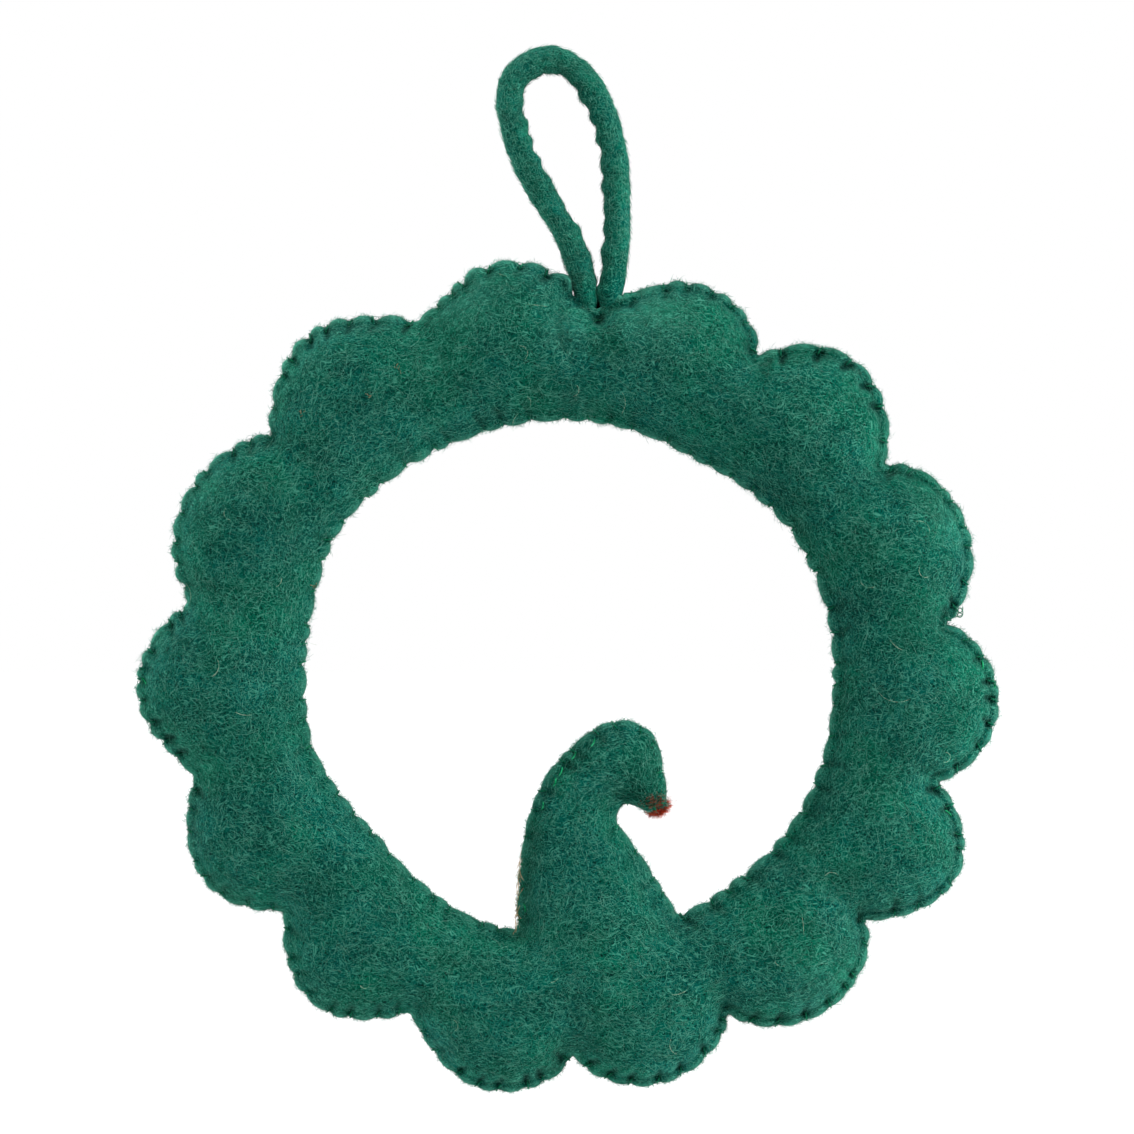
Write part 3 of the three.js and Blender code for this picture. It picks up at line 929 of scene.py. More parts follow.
def to_slots(points, slots):
    start, step = slots[0], slots[1] - slots[0]
    offset = points[:, None, :] - start[None]
    share = np.clip((offset * step).sum(axis=2) / (step ** 2).sum(axis=1), 0, 1)
    return np.sqrt(((offset - share[:, :, None] * step) ** 2).sum(axis=2)).min(axis=1)


def swell(points, gap):
    by_edge = np.maximum(gap - DOME_START, 0) * sample(slope, points)
    inland = np.clip((gap - SEAM - 4) / 6, 0, 1)
    room = by_edge + (sample(film, points) - by_edge) * inland * inland * (3 - 2 * inland)
    rise = 0.8 * (np.sqrt(room + 2.0) - math.sqrt(2.0))
    most = CROWN - 0.8 * FELT
    return rise / (1 + (rise / most) ** 6) ** (1 / 6)


def valleys(points):
    """The furrow that each notch draws across the dome towards the middle of the ring."""
    furrow = np.zeros(len(points))
    for turn, reach, pull in zip(notch_turns, notch_reach, notch_pull):
        notch = ring_point(OUTER * reach, turn)
        inwards = (ring_centre - notch) / np.linalg.norm(ring_centre - notch)
        along = (points - notch) @ inwards
        across = (points - notch) @ np.array([-inwards[1], inwards[0]])
        wide = 4.0 + 0.28 * np.maximum(along, 0)
        furrow += pull * hill(across, wide) * hill(np.maximum(along, 0), 21)
    return furrow


def creases(points):
    """Two folds that run from the sides of the rope down to the tack."""
    fold = np.zeros(len(points))
    for start, depth in ((np.array([8.5, -80.5]), 1.5), (np.array([26.5, -82.0]), 1.3)):
        step = TACK - start
        share = np.clip(((points - start) @ step) / (step @ step), 0, 1)
        gap = np.linalg.norm(points - start - share[:, None] * step, axis=1)
        fold += depth * hill(gap, 1.3)
    return fold


def seam_facts(points):
    """For each point: its distances to the beaded rim and the plain cut line, its bead, its pit."""
    rim_gap, which, along = nearest_edge(points, rims)
    gap = nearest_edge(points, plain_loops)[0]
    bead, puff, pit_gap = np.zeros(len(points)), np.zeros(len(points)), np.full(len(points), 99.0)
    for number, edge in enumerate(edges):
        mine = which == number
        spots = rims[number][along[mine].astype(int) % len(rims[number])]
        bead[mine], puff[mine] = edge.bead(edge.run_near(spots))
        close = np.flatnonzero(mine & (gap < 3 * PIT_INSET))
        pit_gap[close] = to_slots(points[close], pit_places(edge))
    return rim_gap, gap, bead, puff, pit_gap


def noise_over(points, size, layer):
    return np.array([noise.noise(Vector((x / size, z / size, layer))) for x, z in points])


def felt_height(points, facts, rise, side):
    """The outside of the felt, in millimetres from the middle plane, over a given rise of the bag."""
    rim_gap, gap, bead, puff, pit_gap = facts
    round_over = np.sqrt(np.clip(1 - (1 - np.clip(rim_gap / LIP_ROUND, 0, 1)) ** 2, 0, 1))
    edge_height = (FELT * LIP_SHARE + BEAD_RISE * puff * bead) * round_over
    edge_height -= GROOVE_DEPTH * groove_strength(points) * hill(gap - GROOVE, GROOVE_WIDTH)
    fade = np.exp(-np.maximum(gap - SEAM, 0) / 8.0)
    pull = 0.45 * (bead - 0.55) * fade * np.clip(rise / 3.0, 0, 1) * np.minimum(puff / 2, 1.2)
    height = edge_height + rise + pull - slot_depth(points) * hill(pit_gap, SLOT_WIDTH)
    height -= sum(depth * hill_at(points, TACK, reach) for depth, reach in TACK_DIMPLES) + creases(points)
    waves, ripples = noise_over(points, 19, 7.0 * side), noise_over(points, 6.5, 31.0 + side)
    lively = np.clip(rise / 6, 0, 1)
    return np.maximum(height + lively * (0.6 * waves + 0.2 * ripples), 0.45 * round_over + MIDDLE_GAP)


OUTER_ZONE, HAT_ZONE, HAT_RIGHT = 0.8 * OUTER, 0.93 * INNER, 14


def groove_strength(points):
    """The groove is plainest on the outer edge, and more so towards the right."""
    far = np.linalg.norm(points - ring_centre, axis=1)
    to_right = np.clip(0.62 + points[:, 0] / 260, 0.3, 1)
    return to_right * np.where(far > OUTER_ZONE, 1.0, np.where(far < HAT_ZONE, 0.4, 0.6))


def slot_depth(points):
    """Some stretches were sewn tighter than others, so their slots are deeper."""
    tight = noise_over(points, 26, 3.0)
    deep = np.clip(1.2 + 2.6 * tight, 0.25, 3.0) * np.clip(0.85 + points[:, 0] / 500, 0.6, 1.1)
    for x, z, reach in tight_spots:
        deep += TIGHTER * hill_at(points, (x, z), reach)
    far = np.linalg.norm(points - ring_centre, axis=1)
    hat_left = (far < HAT_ZONE) & (points[:, 0] < HAT_RIGHT)
    return deep * np.where(far > OUTER_ZONE, 1.0, np.where(hat_left, 0.8, 0.5))


SLOT_SHADE, GROOVE_SHADE, CREASE_SHADE, RIM_PAINTED_LIGHT = 0.46, 0.45, 0.35, 0.6
# Painted shade and painted light on the back: x, z, how far round, and how much darker, or paler with a
# minus.
# The shade lies in the valleys inland of the notches and on slopes turned away from the lamps, and the
# light on lit shoulders.
painted_shade_and_light_pools = [
    (126, -197, 11, 0.5), (117, -240, 13, 0.34), (138, -226, 9, 0.32), (124, -176, 11, 0.34),
    (128, -144, 8, 0.36), (114, -116, 9, 0.3), (68, -98, 8, 0.3), (64, -121, 13, 0.4),
    (-49, -102, 9, 0.34), (-67, -126, 12, 0.34), (-106, -169, 11, 0.3), (-104, -233, 12, 0.28),
    (-23, -112, 12, 0.4), (37.5, -254, 8, 0.28), (117, -279, 10, 0.2), (18, -279, 10, 0.16),
    (-86, -155, 12, 0.36), (14, -114, 15, 0.34), (95, -150, 16, 0.24), (119, -212, 9, 0.2),
    (-107, -200, 10, 0.14), (-60, -300, 12, 0.12), (131, -228, 9, 0.1), (112, -279, 8, 0.12),
    (-92, -261, 9, 0.15), (-104, -176, 8, 0.1), (-74, -289, 9, 0.15), (29, -257, 7, 0.45),
    (15, -272, 9, 0.18), (111, -190, 9, 0.2), (-92, -186, 9, 0.22), (31, -246, 6, 0.2),
    (-88, -92, 13, -0.25), (-123, -146, 11, -0.2), (-32, -80, 13, -0.26), (36, -82, 13, -0.3),
    (-141, -202, 9, -0.18), (96, -325, 14, -0.14), (6, -94, 8, -0.2), (138, -160, 9, -0.14),
]


def felt_painted_shading(points, facts, side):
    """How much painted shade each point gets, from 0 to 1, or below 0 how much painted light."""
    rim_gap, gap, bead, puff, pit_gap = facts
    # Painted shade in the stitch slots, the groove, the tack's dimple and the creases.
    shading = SLOT_SHADE * slot_depth(points) * hill(pit_gap, 1.15)
    shading += GROOVE_SHADE * groove_strength(points) * hill(gap - GROOVE - 0.1, 0.9)
    shading += hill_at(points, TACK, 2.4) + CREASE_SHADE * creases(points)
    # Painted light on the beads of the rim, where the edges catch light.
    shading -= RIM_PAINTED_LIGHT * bead * hill(rim_gap, 2.0)
    # On the back only: painted shade in the valleys and on shaded slopes, and painted light on lit
    # shoulders.
    if side < 0:
        for x, z, reach, much in painted_shade_and_light_pools:
            shading += much * hill_at(points, (x, z), reach)
    return np.clip(shading, -1, 1)


# %% [markdown]
# ## The two layers of felt
# Each layer is one closed piece: its outside follows the height above, and its inside lies one
# felt thickness below. The flat pattern is filled with triangles by a Delaunay net, which meets
# the beaded cut line exactly and can be finer near the seams, where the small shapes are.

# %% A net of triangles over the pattern
def hex_points(spacing):
    across = np.arange(low[0], high[0], spacing)
    up = np.arange(low[1], high[1], spacing * math.sqrt(3) / 2)
    x, z = np.meshgrid(across, up, indexing="ij")
    x = x + (np.arange(len(up)) % 2) * spacing / 2
    return np.column_stack([x.ravel(), z.ravel()])


def facing_up(places, triangles):
    """Turns every triangle the same way round, and drops the points that none uses."""
    first, second, third = places[triangles].transpose(1, 0, 2)
    along, across = second - first, third - first
    turn = along[:, 0] * across[:, 1] - along[:, 1] * across[:, 0]
    triangles[turn < 0] = triangles[turn < 0][:, ::-1]
    used = np.unique(triangles)
    renumber = np.full(len(places), -1)
    renumber[used] = np.arange(len(used))
    return places[used], renumber[triangles]


def triangulated(points, bounds=()):
    """Delaunay triangles over the points, and the middle of each."""
    found = delaunay_2d_cdt([Vector(p) for p in points], list(bounds), [], 0, 1e-6)
    places = np.array([tuple(v) for v in found[0]])
    triangles = np.array([f for f in found[2] if len(f) == 3])
    return places, triangles, places[triangles].mean(axis=1)


def felt_net(fine, coarse, band):
    """Fine triangles in a band along the rims, and coarse ones farther in."""
    near, far = hex_points(fine), hex_points(coarse)
    near = near[within_felt(near, rims)]
    far = far[within_felt(far, rims)]
    near_gap, far_gap = nearest_edge(near, rims)[0], nearest_edge(far, rims)[0]
    near = near[(near_gap > 0.55 * fine) & (near_gap < band)]
    far = far[far_gap > band + 0.4 * coarse]
    points = np.concatenate(rims + [near, far])
    bounds, start = [], 0
    for rim in rims:
        bounds += [(start + k, start + (k + 1) % len(rim)) for k in range(len(rim))]
        start += len(rim)
    places, triangles, middles = triangulated(points, bounds)
    return facing_up(places, triangles[within_felt(middles, rims)])


net, net_faces = felt_net(fine=1.0, coarse=2.2, band=8.0)
net_facts = seam_facts(net)
print(f"net of {len(net)} points and {len(net_faces)} triangles")


# %% [markdown]
# ## Filling the bag
# The pattern is first sewn up as a plain closed bag, a little emptier than the real piece, and a
# cloth simulation blows it up. The seams are pinned, and the cloth is let grow a few per cent, so
# that there is too much of it for its seams, as there is of felt that wadding stretches. That draws
# soft gathers in from the edges, which are hard to draw by hand. Twenty frames settle it. A soft cap
# keeps any point from moving too far, and the moves are evened out, because felt is too thick for
# small wrinkles.

# %% Sew the bag
BAG_INSET, BAG_CELL, SLACK = 2.0, 3.0, 0.84


def open_rim(faces, count):
    """Which points of a net lie on its border."""
    pairs = np.sort(np.concatenate([faces[:, [0, 1]], faces[:, [1, 2]], faces[:, [2, 0]]]), axis=1)
    unique, uses = np.unique(pairs, axis=0, return_counts=True)
    on_rim = np.zeros(count, bool)
    on_rim[unique[uses == 1].ravel()] = True
    return on_rim


def bag_net():
    border = np.concatenate([
        (loop - edge.outward * BAG_INSET)[::3] for loop, edge in zip(plain_loops, edges)])
    spots = hex_points(BAG_CELL)
    kept = []
    for points, room in ((border, 0.9 * BAG_INSET), (spots, BAG_INSET + 0.55 * BAG_CELL)):
        points = points[within_felt(points, plain_loops)]
        kept.append(points[nearest_edge(points, plain_loops)[0] > room])
    places, triangles, middles = triangulated(np.concatenate(kept))
    inner = within_felt(middles, plain_loops)
    inner[inner] = nearest_edge(middles[inner], plain_loops)[0] > 0.85 * BAG_INSET
    return facing_up(places, triangles[inner])


bag_flat, bag_faces = bag_net()
bag_rim = open_rim(bag_faces, len(bag_flat))
start_rise = SLACK * np.maximum(swell(bag_flat, nearest_edge(bag_flat, plain_loops)[0]), 0.3)
start_rise -= valleys(bag_flat) * np.clip(start_rise / 7, 0, 1)
start_rise[bag_rim] = 0
back_count = len(bag_flat)
front_number = np.where(bag_rim, np.arange(back_count), back_count + np.cumsum(~bag_rim) - 1)
bag_points = np.concatenate([
    np.column_stack([bag_flat[:, 0], -start_rise, bag_flat[:, 1]]),
    np.column_stack([bag_flat[:, 0], start_rise, bag_flat[:, 1]])[~bag_rim],
]) * MM
fibre_fill = wool(
    "fibre_fill", deep=linear(196, 196, 190), body=linear(236, 236, 232), cool=linear(226, 228, 230),
    strand=linear(250, 250, 248), strand_length=6 * MM, strand_width=0.3 * MM,
)
bag_sides = np.concatenate([bag_faces, front_number[bag_faces][:, ::-1]])
bag = new_piece("wadding", bag_points, bag_sides, fibre_fill)
face_out(bag)
print("bag", len(bag_points), "points,", len(bag.data.polygons), "faces")

# %% Blow it up
PRESSURE, GROWTH, MOST_MOVE, SOFTENING = 24, 0.03, 5.0, 12


def blow_up(piece, pinned):
    sewn = piece.vertex_groups.new(name="sewn")
    sewn.add([int(k) for k in pinned], 1.0, "REPLACE")
    cloth = piece.modifiers.new("cloth", "CLOTH").settings
    cloth.use_pressure = True
    cloth.uniform_pressure_force = PRESSURE
    cloth.effector_weights.gravity = 0
    cloth.vertex_group_mass = "sewn"
    cloth.shrink_min = -GROWTH
    cloth.mass = 0.05
    cloth.quality = 4
    cloth.bending_stiffness = 1.5
    for frame_number in range(1, 21):
        bpy.context.scene.frame_set(frame_number)
    settled = piece.evaluated_get(bpy.context.evaluated_depsgraph_get()).data
    blown = np.array([tuple(v.co) for v in settled.vertices])
    piece.modifiers.clear()
    piece.vertex_groups.clear()
    bpy.context.scene.frame_set(1)
    return blown


def softened(moves, rounds):
    """Evens the moves out with those of the neighbours, as thick felt bridges small wrinkles."""
    sides = np.concatenate([bag_faces, front_number[bag_faces]])
    pairs = np.concatenate([sides[:, [0, 1]], sides[:, [1, 2]], sides[:, [2, 0]]])
    pairs = np.unique(np.concatenate([pairs, pairs[:, ::-1]]), axis=0)
    uses = np.bincount(pairs[:, 0], minlength=len(moves))
    for _ in range(rounds):
        total = np.column_stack([
            np.bincount(pairs[:, 0], moves[pairs[:, 1], k], len(moves)) for k in range(3)])
        moves = 0.5 * moves + 0.5 * total / uses[:, None]
    return moves


moved = np.zeros_like(bag_points)
moved = blow_up(bag, np.flatnonzero(bag_rim)) - bag_points
far = np.linalg.norm(moved, axis=1)
moved /= ((1 + (far / (MOST_MOVE * MM)) ** 3) ** (1 / 3))[:, None]
moved = softened(moved, SOFTENING)
moved[np.flatnonzero(bag_rim)] = 0
bag_blown = (bag_points + moved) / MM
print(f"the bag moved up to {np.linalg.norm(moved, axis=1).max() / MM:.1f} mm,",
      f"crown {bag_blown[:, 1].max():.1f} mm")

# %% Read the bag under the net
flat_bag = BVHTree.FromPolygons(
    [(x, z, 0) for x, z in bag_flat], [tuple(int(k) for k in f) for f in bag_faces])


def on_bag(points, side):
    """How far the blown bag lies from each point of the pattern: sideways, outwards and upwards."""
    numbers = np.arange(back_count) if side < 0 else front_number
    shift = bag_blown[numbers] - np.column_stack([bag_flat[:, 0], np.zeros(back_count), bag_flat[:, 1]])
    shift[:, 1] *= side
    result = np.zeros((len(points), 3))
    for k, (x, z) in enumerate(points):
        spot, normal, face, gap = flat_bag.find_nearest(Vector((x, z, 0)))
        corners = bag_faces[face]
        shares = poly_3d_calc([Vector((*bag_flat[c], 0)) for c in corners], spot)
        result[k] = sum(share * shift[c] for share, c in zip(shares, corners))
    return result


# %% Build a layer
def tail_room(points):
    """How far the layers stand off the middle plane to leave room for the rope's ends."""
    beside = np.abs(points[:, 0] - seat[0]) - (strand_x[-1] - strand_x[0] + 2 * ROPE_RADIUS / MM) / 2
    deep = np.clip((points[:, 1] - (seat[1] - 20)) / 4, 0, 1)
    return 2.6 * np.clip(1 - beside / 4, 0, 1) * deep


def felt_layer(name, side):
    shift = on_bag(net, side)
    outside = felt_height(net, net_facts, shift[:, 1], side) + tail_room(net)
    spread = net + shift[:, [0, 2]] * np.clip((net_facts[0] - 1) / 4, 0, 1)[:, None]
    on_rim = open_rim(net_faces, len(net))
    stand_off = MIDDLE_GAP + tail_room(net)
    inside_height = np.maximum(outside - FELT, stand_off)
    outside = np.maximum(outside, inside_height + LEAST_FELT)
    count = len(net)
    inner_number = np.full(count, -1)
    inner_number[~on_rim] = count + np.arange((~on_rim).sum())
    inner_number[on_rim] = np.flatnonzero(on_rim)
    outside[on_rim] = stand_off[on_rim]
    flat = np.concatenate([spread, spread[~on_rim]])
    heights = np.concatenate([outside, inside_height[~on_rim]])
    points = [(x * MM, side * y * MM, z * MM) for (x, z), y in zip(flat, heights)]
    out_faces = net_faces if side < 0 else net_faces[:, ::-1]
    in_faces = inner_number[net_faces][:, ::-1] if side < 0 else inner_number[net_faces]
    layer = new_piece(name, points, np.concatenate([out_faces, in_faces]), green_felt)
    # The outside carries its painted shade and light, and the inside of the layer is painted wholly in
    # shade.
    shading_attribute = layer.data.attributes.new("painted_shading", "FLOAT", "POINT")
    painted_shading = np.concatenate([felt_painted_shading(net, net_facts, side), np.ones((~on_rim).sum())])
    shading_attribute.data.foreach_set("value", painted_shading)
    return layer


back_felt = felt_layer("back_felt", -1)
front_felt = felt_layer("front_felt", 1)
for piece, node in ((back_felt, "back_panel"), (front_felt, "front_panel")):
    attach(piece, "wreath")
    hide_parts(node)
    print(piece.name, len(piece.data.polygons), "faces")

# %% [markdown]
# ## The wadding
# White polyester wadding fills the ring and the hat and holds the felt up. Nothing of it shows in
# a finished wreath, but it is there, so that nobody sees into a hollow piece. It is the blown bag
# itself, drawn in until it lies just under the felt.

# %% Draw the bag in under the felt
WADDING_ROOM = 0.35
bag_facts = seam_facts(bag_flat)
for side, numbers in ((-1, np.arange(back_count)), (1, front_number)):
    level = felt_height(bag_flat, bag_facts, side * bag_blown[numbers][:, 1], side) - FELT - WADDING_ROOM
    level -= 3.4 * hill(np.maximum(bag_facts[1] - 4, 0), 4) + 0.5 * creases(bag_flat)
    level -= 5 * hill_at(bag_flat, TACK, 5)
    level = np.where(bag_rim, 0, np.maximum(level, 0.1))
    bag_blown[numbers, 1] = side * level
for vertex, (x, y, z) in zip(bag.data.vertices, bag_blown):
    vertex.co = x * MM, y * MM, z * MM
bag.data.update()
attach(bag, "wreath")
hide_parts("ring_stuffing", "hat_stuffing")
print("wadding", len(bag.data.polygons), "faces")

# %% [markdown]
# ## The thread
# One strong green thread goes over the rim at every stitch, from a pit on one side to the pit on
# the other. It is thin, and most of it is sunk in the felt that it squeezes. Each stitch is the
# same short tube, bent to its own place.

# %% Sew the edges
THREAD_RADIUS = 0.26 * MM
thread_green = wool(
    "thread_green", deep=linear(0, 60, 44), body=linear(18, 112, 80), cool=linear(12, 100, 76),
    strand=linear(40, 140, 96), strand_length=1.5 * MM, strand_width=0.15 * MM,
)


def strand_mesh(name, lines, radius, material, sides=3):
    """Many thin tubes in one piece, pointed at both ends. lines is (how many, points each, 3)."""
    many, steps = lines.shape[:2]
    radius = np.broadcast_to(np.asarray(radius, float), (many,))
    along = np.gradient(lines, axis=1)
    along /= np.maximum(np.linalg.norm(along, axis=2), 1e-12)[:, :, None]
    aside = np.cross(along, np.where(np.abs(along[:, :, 1:2]) < 0.9, (0.0, 1.0, 0.0), (1.0, 0.0, 0.0)))
    aside /= np.maximum(np.linalg.norm(aside, axis=2), 1e-12)[:, :, None]
    over = np.cross(along, aside)
    turns = 2 * np.pi * np.arange(sides) / sides
    middle = lines[:, 1:-1, None, :] + radius[:, None, None, None] * (
        aside[:, 1:-1, None, :] * np.cos(turns)[None, None, :, None]
        + over[:, 1:-1, None, :] * np.sin(turns)[None, None, :, None])
    rings = steps - 2
    each = rings * sides + 2
    points = np.concatenate([lines[:, :1], middle.reshape(many, rings * sides, 3), lines[:, -1:]], axis=1)
    shape = []
    for side in range(sides):
        near, far = 1 + side, 1 + (side + 1) % sides
        shape.append((0, near, far))
        for ring in range(rings - 1):
            a, b = near + ring * sides, far + ring * sides
            shape += [(a, a + sides, b + sides), (a, b + sides, b)]
        last = (rings - 1) * sides
        shape.append((each - 1, far + last, near + last))
    faces = (np.array(shape)[None] + each * np.arange(many)[:, None, None]).reshape(-1, 3)
    return new_piece(name, points.reshape(-1, 3), faces, material)


# From the rim to the pit: the share of the way, and how high over the middle the thread runs.
STITCH_HEIGHTS = [(0.0, 0.8), (0.25, 1.45), (0.55, 1.75), (0.85, 1.6), (1.0, 0.8)]
STITCH_LEAN, OVER_RIM = 1.3, 0.3


def stitch_lines(edge, rim):
    lines = []
    for stitch in edge.stitches:
        here = edge.index(stitch)
        cusp = rim[((rim - edge.points[here]) ** 2).sum(axis=1).argmin()] + edge.outward[here] * 0.2
        pit = edge.points[edge.index(stitch + STITCH_LEAN)] - edge.outward[here] * PIT_INSET
        proud = chance.uniform(-1.1, -0.15)
        half = []
        for share, height in STITCH_HEIGHTS:
            spot = cusp + (pit - cusp) * share
            half.append((spot[0], -height - proud * share, spot[1]))
        top = cusp + edge.outward[here] * OVER_RIM
        lines.append(half[::-1] + [(top[0], 0, top[1])] + [(x, -y, z) for x, y, z in half])
    return np.array(lines) * MM


for name, edge, rim in (("rim_stitches", outer_edge, rims[0]), ("opening_stitches", inner_edge, rims[1])):
    stitches = strand_mesh(name, stitch_lines(edge, rim), THREAD_RADIUS, thread_green, sides=5)
    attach(stitches, "wreath")
    print(name, len(stitches.data.polygons), "faces")

# %% [markdown]
# ## Loose fibres
# What makes felt look woolly close to is the last layer of fibres: fine curved hairs that lie on
# the surface every way, and a soft fringe of them past every edge. They could be a particle
# system, but real geometry is exported with the piece, so each fibre is a three sided tube.

# %% Fibre colours
FIBRE_CLOUD = 0.8 * MM


def fibre_wool(name, dark, light):
    """A plainer wool for single fibres: each takes its shade from where it lies."""
    material, tree, shader = new_material(name)
    clouds = placed_group(tree, dye_clouds, Size=FIBRE_CLOUD)
    dull = range_node(tree, clouds["Warmth"], 0, 1, 0.8, 1.0, smooth=False)
    tree.links.new(mix_colours(tree, clouds["Depth"], light, dark), shader.inputs["Base Color"])
    tree.links.new(dull, shader.inputs["Roughness"])
    set_inputs(shader, Specular_IOR_Level=0.03)
    return material


pale_fibre = fibre_wool("pale_fibre", linear(50, 124, 104), linear(104, 166, 146))
green_fibre = fibre_wool("green_fibre", linear(0, 82, 63), linear(26, 122, 100))
fair_fibre = fibre_wool("fair_fibre", linear(0, 90, 70), linear(84, 158, 136))
rope_fibre = fibre_wool("rope_fibre", linear(10, 94, 76), linear(84, 152, 130))
rim_fibre = fibre_wool("rim_fibre", linear(14, 100, 80), linear(92, 158, 138))
tan_fibre = fibre_wool("tan_fibre", linear(110, 84, 56), linear(176, 150, 112))
straw_fibre = fibre_wool("straw_fibre", linear(168, 140, 104), linear(230, 208, 172))
red_fibre = fibre_wool("red_fibre", linear(122, 32, 20), linear(216, 90, 60))

# %% Fibres that lie on the felt
CAST_FROM = 0.05
COMB_REACH, COMB_SPREAD = 13, 0.3
LEVEL_SHARE, LEVEL_SPREAD = 0.3, 0.5
FIBRE_BEND, FIBRE_KINK, FIBRE_ARCH, FIBRE_SUNK = 1.8, 0.25, (0.05, 0.4), 0.06


def tree_of(piece):
    points = [v.co for v in piece.data.vertices]
    return BVHTree.FromPolygons(points, [tuple(f.vertices) for f in piece.data.polygons])


def lying_fibres(piece, side, starts, length, steps):
    """Curved lines over the felt, followed step by step across the pattern and dropped onto it.

    Near an edge the needle and the hand have combed most of them along it, and elsewhere some lie
    level and the rest lie every way."""
    surface = tree_of(piece)
    many = len(starts)
    gap, which, along = nearest_edge(starts, plain_loops)
    way = np.array([edges[w].tangent[int(a) % len(edges[w].tangent)] for w, a in zip(which, along)])
    combed = chance.uniform(0, 1, many) < np.exp(-gap / COMB_REACH)
    level = chance.uniform(0, 1, many) < LEVEL_SHARE
    heading = np.where(level, chance.normal(0, LEVEL_SPREAD, many), chance.uniform(0, 2 * np.pi, many))
    by_edge = np.arctan2(way[:, 1], way[:, 0]) + chance.normal(0, COMB_SPREAD, many)
    heading = np.where(combed, by_edge, heading)
    turn = chance.normal(0, FIBRE_BEND, many) / (steps - 1) * np.where(combed, 0.3, 1)
    kink = chance.normal(0, FIBRE_KINK, (many, steps))
    stride = chance.uniform(*length, many) / (steps - 1)
    arch = chance.uniform(*FIBRE_ARCH, many)
    spot = starts.copy()
    lines = np.zeros((many, steps, 3))
    height = np.full(many, 1.2)
    for step in range(steps):
        for k in range(many):
            above = Vector((spot[k, 0] * MM, side * CAST_FROM, spot[k, 1] * MM))
            hit = surface.ray_cast(above, Vector((0, -side, 0)))
            if hit[0] is not None:
                height[k] = side * hit[0].y / MM
        share = step / (steps - 1)
        lines[:, step, 0], lines[:, step, 2] = spot[:, 0], spot[:, 1]
        lines[:, step, 1] = side * (height - FIBRE_SUNK + arch * math.sin(math.pi * share))
        way = heading + turn * step + kink[:, step]
        reach = stride[:, None] * np.column_stack([np.cos(way), np.sin(way)])
        off = ~within_felt(spot + reach, plain_loops)
        reach[off] *= 0.15
        spot = spot + reach
    return lines * MM


def scatter(count):
    """Random places on the pattern, in millimetres, not too near the rim or the rope."""
    places = np.zeros((0, 2))
    while len(places) < count:
        tries = chance.uniform(low, high, (3 * count, 2))
        tries = tries[within_felt(tries, plain_loops)]
        by_rope = (np.abs(tries[:, 0] - seat[0]) < 12) & (tries[:, 1] > seat[1] - 3)
        places = np.concatenate([places, tries[~by_rope]])
    return places[:count]


def clear_of_slots(lines):
    """Drops the fibres that would bridge a deep slot."""
    middles = lines[:, lines.shape[1] // 2, ::2] / MM
    pit_gap = seam_facts(middles)[4]
    return lines[(pit_gap > 1.3) | (slot_depth(middles) < 1.5)]


coats = (
    ("back_fibres_fine", back_felt, -1, 16000, (1.5, 5.0), 4, (0.035, 0.06), green_fibre),
    ("back_fibres_short", back_felt, -1, 10500, (3.0, 9.0), 5, (0.035, 0.055), fair_fibre),
    ("back_fibres_long", back_felt, -1, 3500, (6.0, 14.0), 5, (0.03, 0.05), pale_fibre),
    ("front_fibres", front_felt, 1, 10500, (3.0, 10.0), 5, (0.04, 0.07), fair_fibre),
)
for name, piece, side, many, length, steps, radius, colour in coats:
    many = many
    lines = clear_of_slots(lying_fibres(piece, side, scatter(many), length, steps))
    fibres = strand_mesh(name, lines, chance.uniform(*radius, len(lines)) * MM, colour)
    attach(fibres, "wreath")
    print(name, len(fibres.data.polygons), "faces")

# %% The soft fringe at the rims
def rim_fuzz(edge, rim, count):
    lines = np.zeros((count, 4, 3))
    for k in range(count):
        spot = chance.integers(len(rim))
        here, beyond = rim[spot], rim[(spot + 1) % len(rim)]
        along = (beyond - here) / max(np.linalg.norm(beyond - here), 1e-6)
        out = np.array([along[1], -along[0]]) if edge is outer_edge else np.array([-along[1], along[0]])
        place = np.array([here[0], 0, here[1]]) - np.array([out[0], 0, out[1]]) * chance.uniform(0.1, 1.4)
        place[1] = chance.uniform(-1.8, 1.5)
        lean = chance.uniform(-1.2, 1.2)
        way = np.array([out[0] * math.cos(lean) + along[0] * math.sin(lean), chance.uniform(-0.5, 0.5),
                        out[1] * math.cos(lean) + along[1] * math.sin(lean)])
        side = np.array([along[0], chance.uniform(-0.6, 0.6), along[1]]) * chance.uniform(-1, 1)
        length = chance.uniform(0.5, 1.6) if k % 8 else chance.uniform(1.4, 2.6)
        for step in range(4):
            share = step / 3
            lines[k, step] = place + way * length * share + side * length * 1.1 * share * share
    return lines * MM


fringes = (("rim_fringe", outer_edge, rims[0], 16000), ("opening_fringe", inner_edge, rims[1], 10000))
for name, edge, rim, many in fringes:
    fuzz_lines = rim_fuzz(edge, rim, many)
    roots = fuzz_lines[:, 0] / MM
    near_rope = (np.abs(roots[:, 0] - seat[0]) < 13) & (roots[:, 2] > seat[1] - 2.5)
    fuzz_lines = fuzz_lines[~near_rope]
    fringe = strand_mesh(name, fuzz_lines, chance.uniform(0.04, 0.065, len(fuzz_lines)) * MM, rim_fibre)
    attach(fringe, "wreath")
    print(name, len(fringe.data.polygons), "faces")

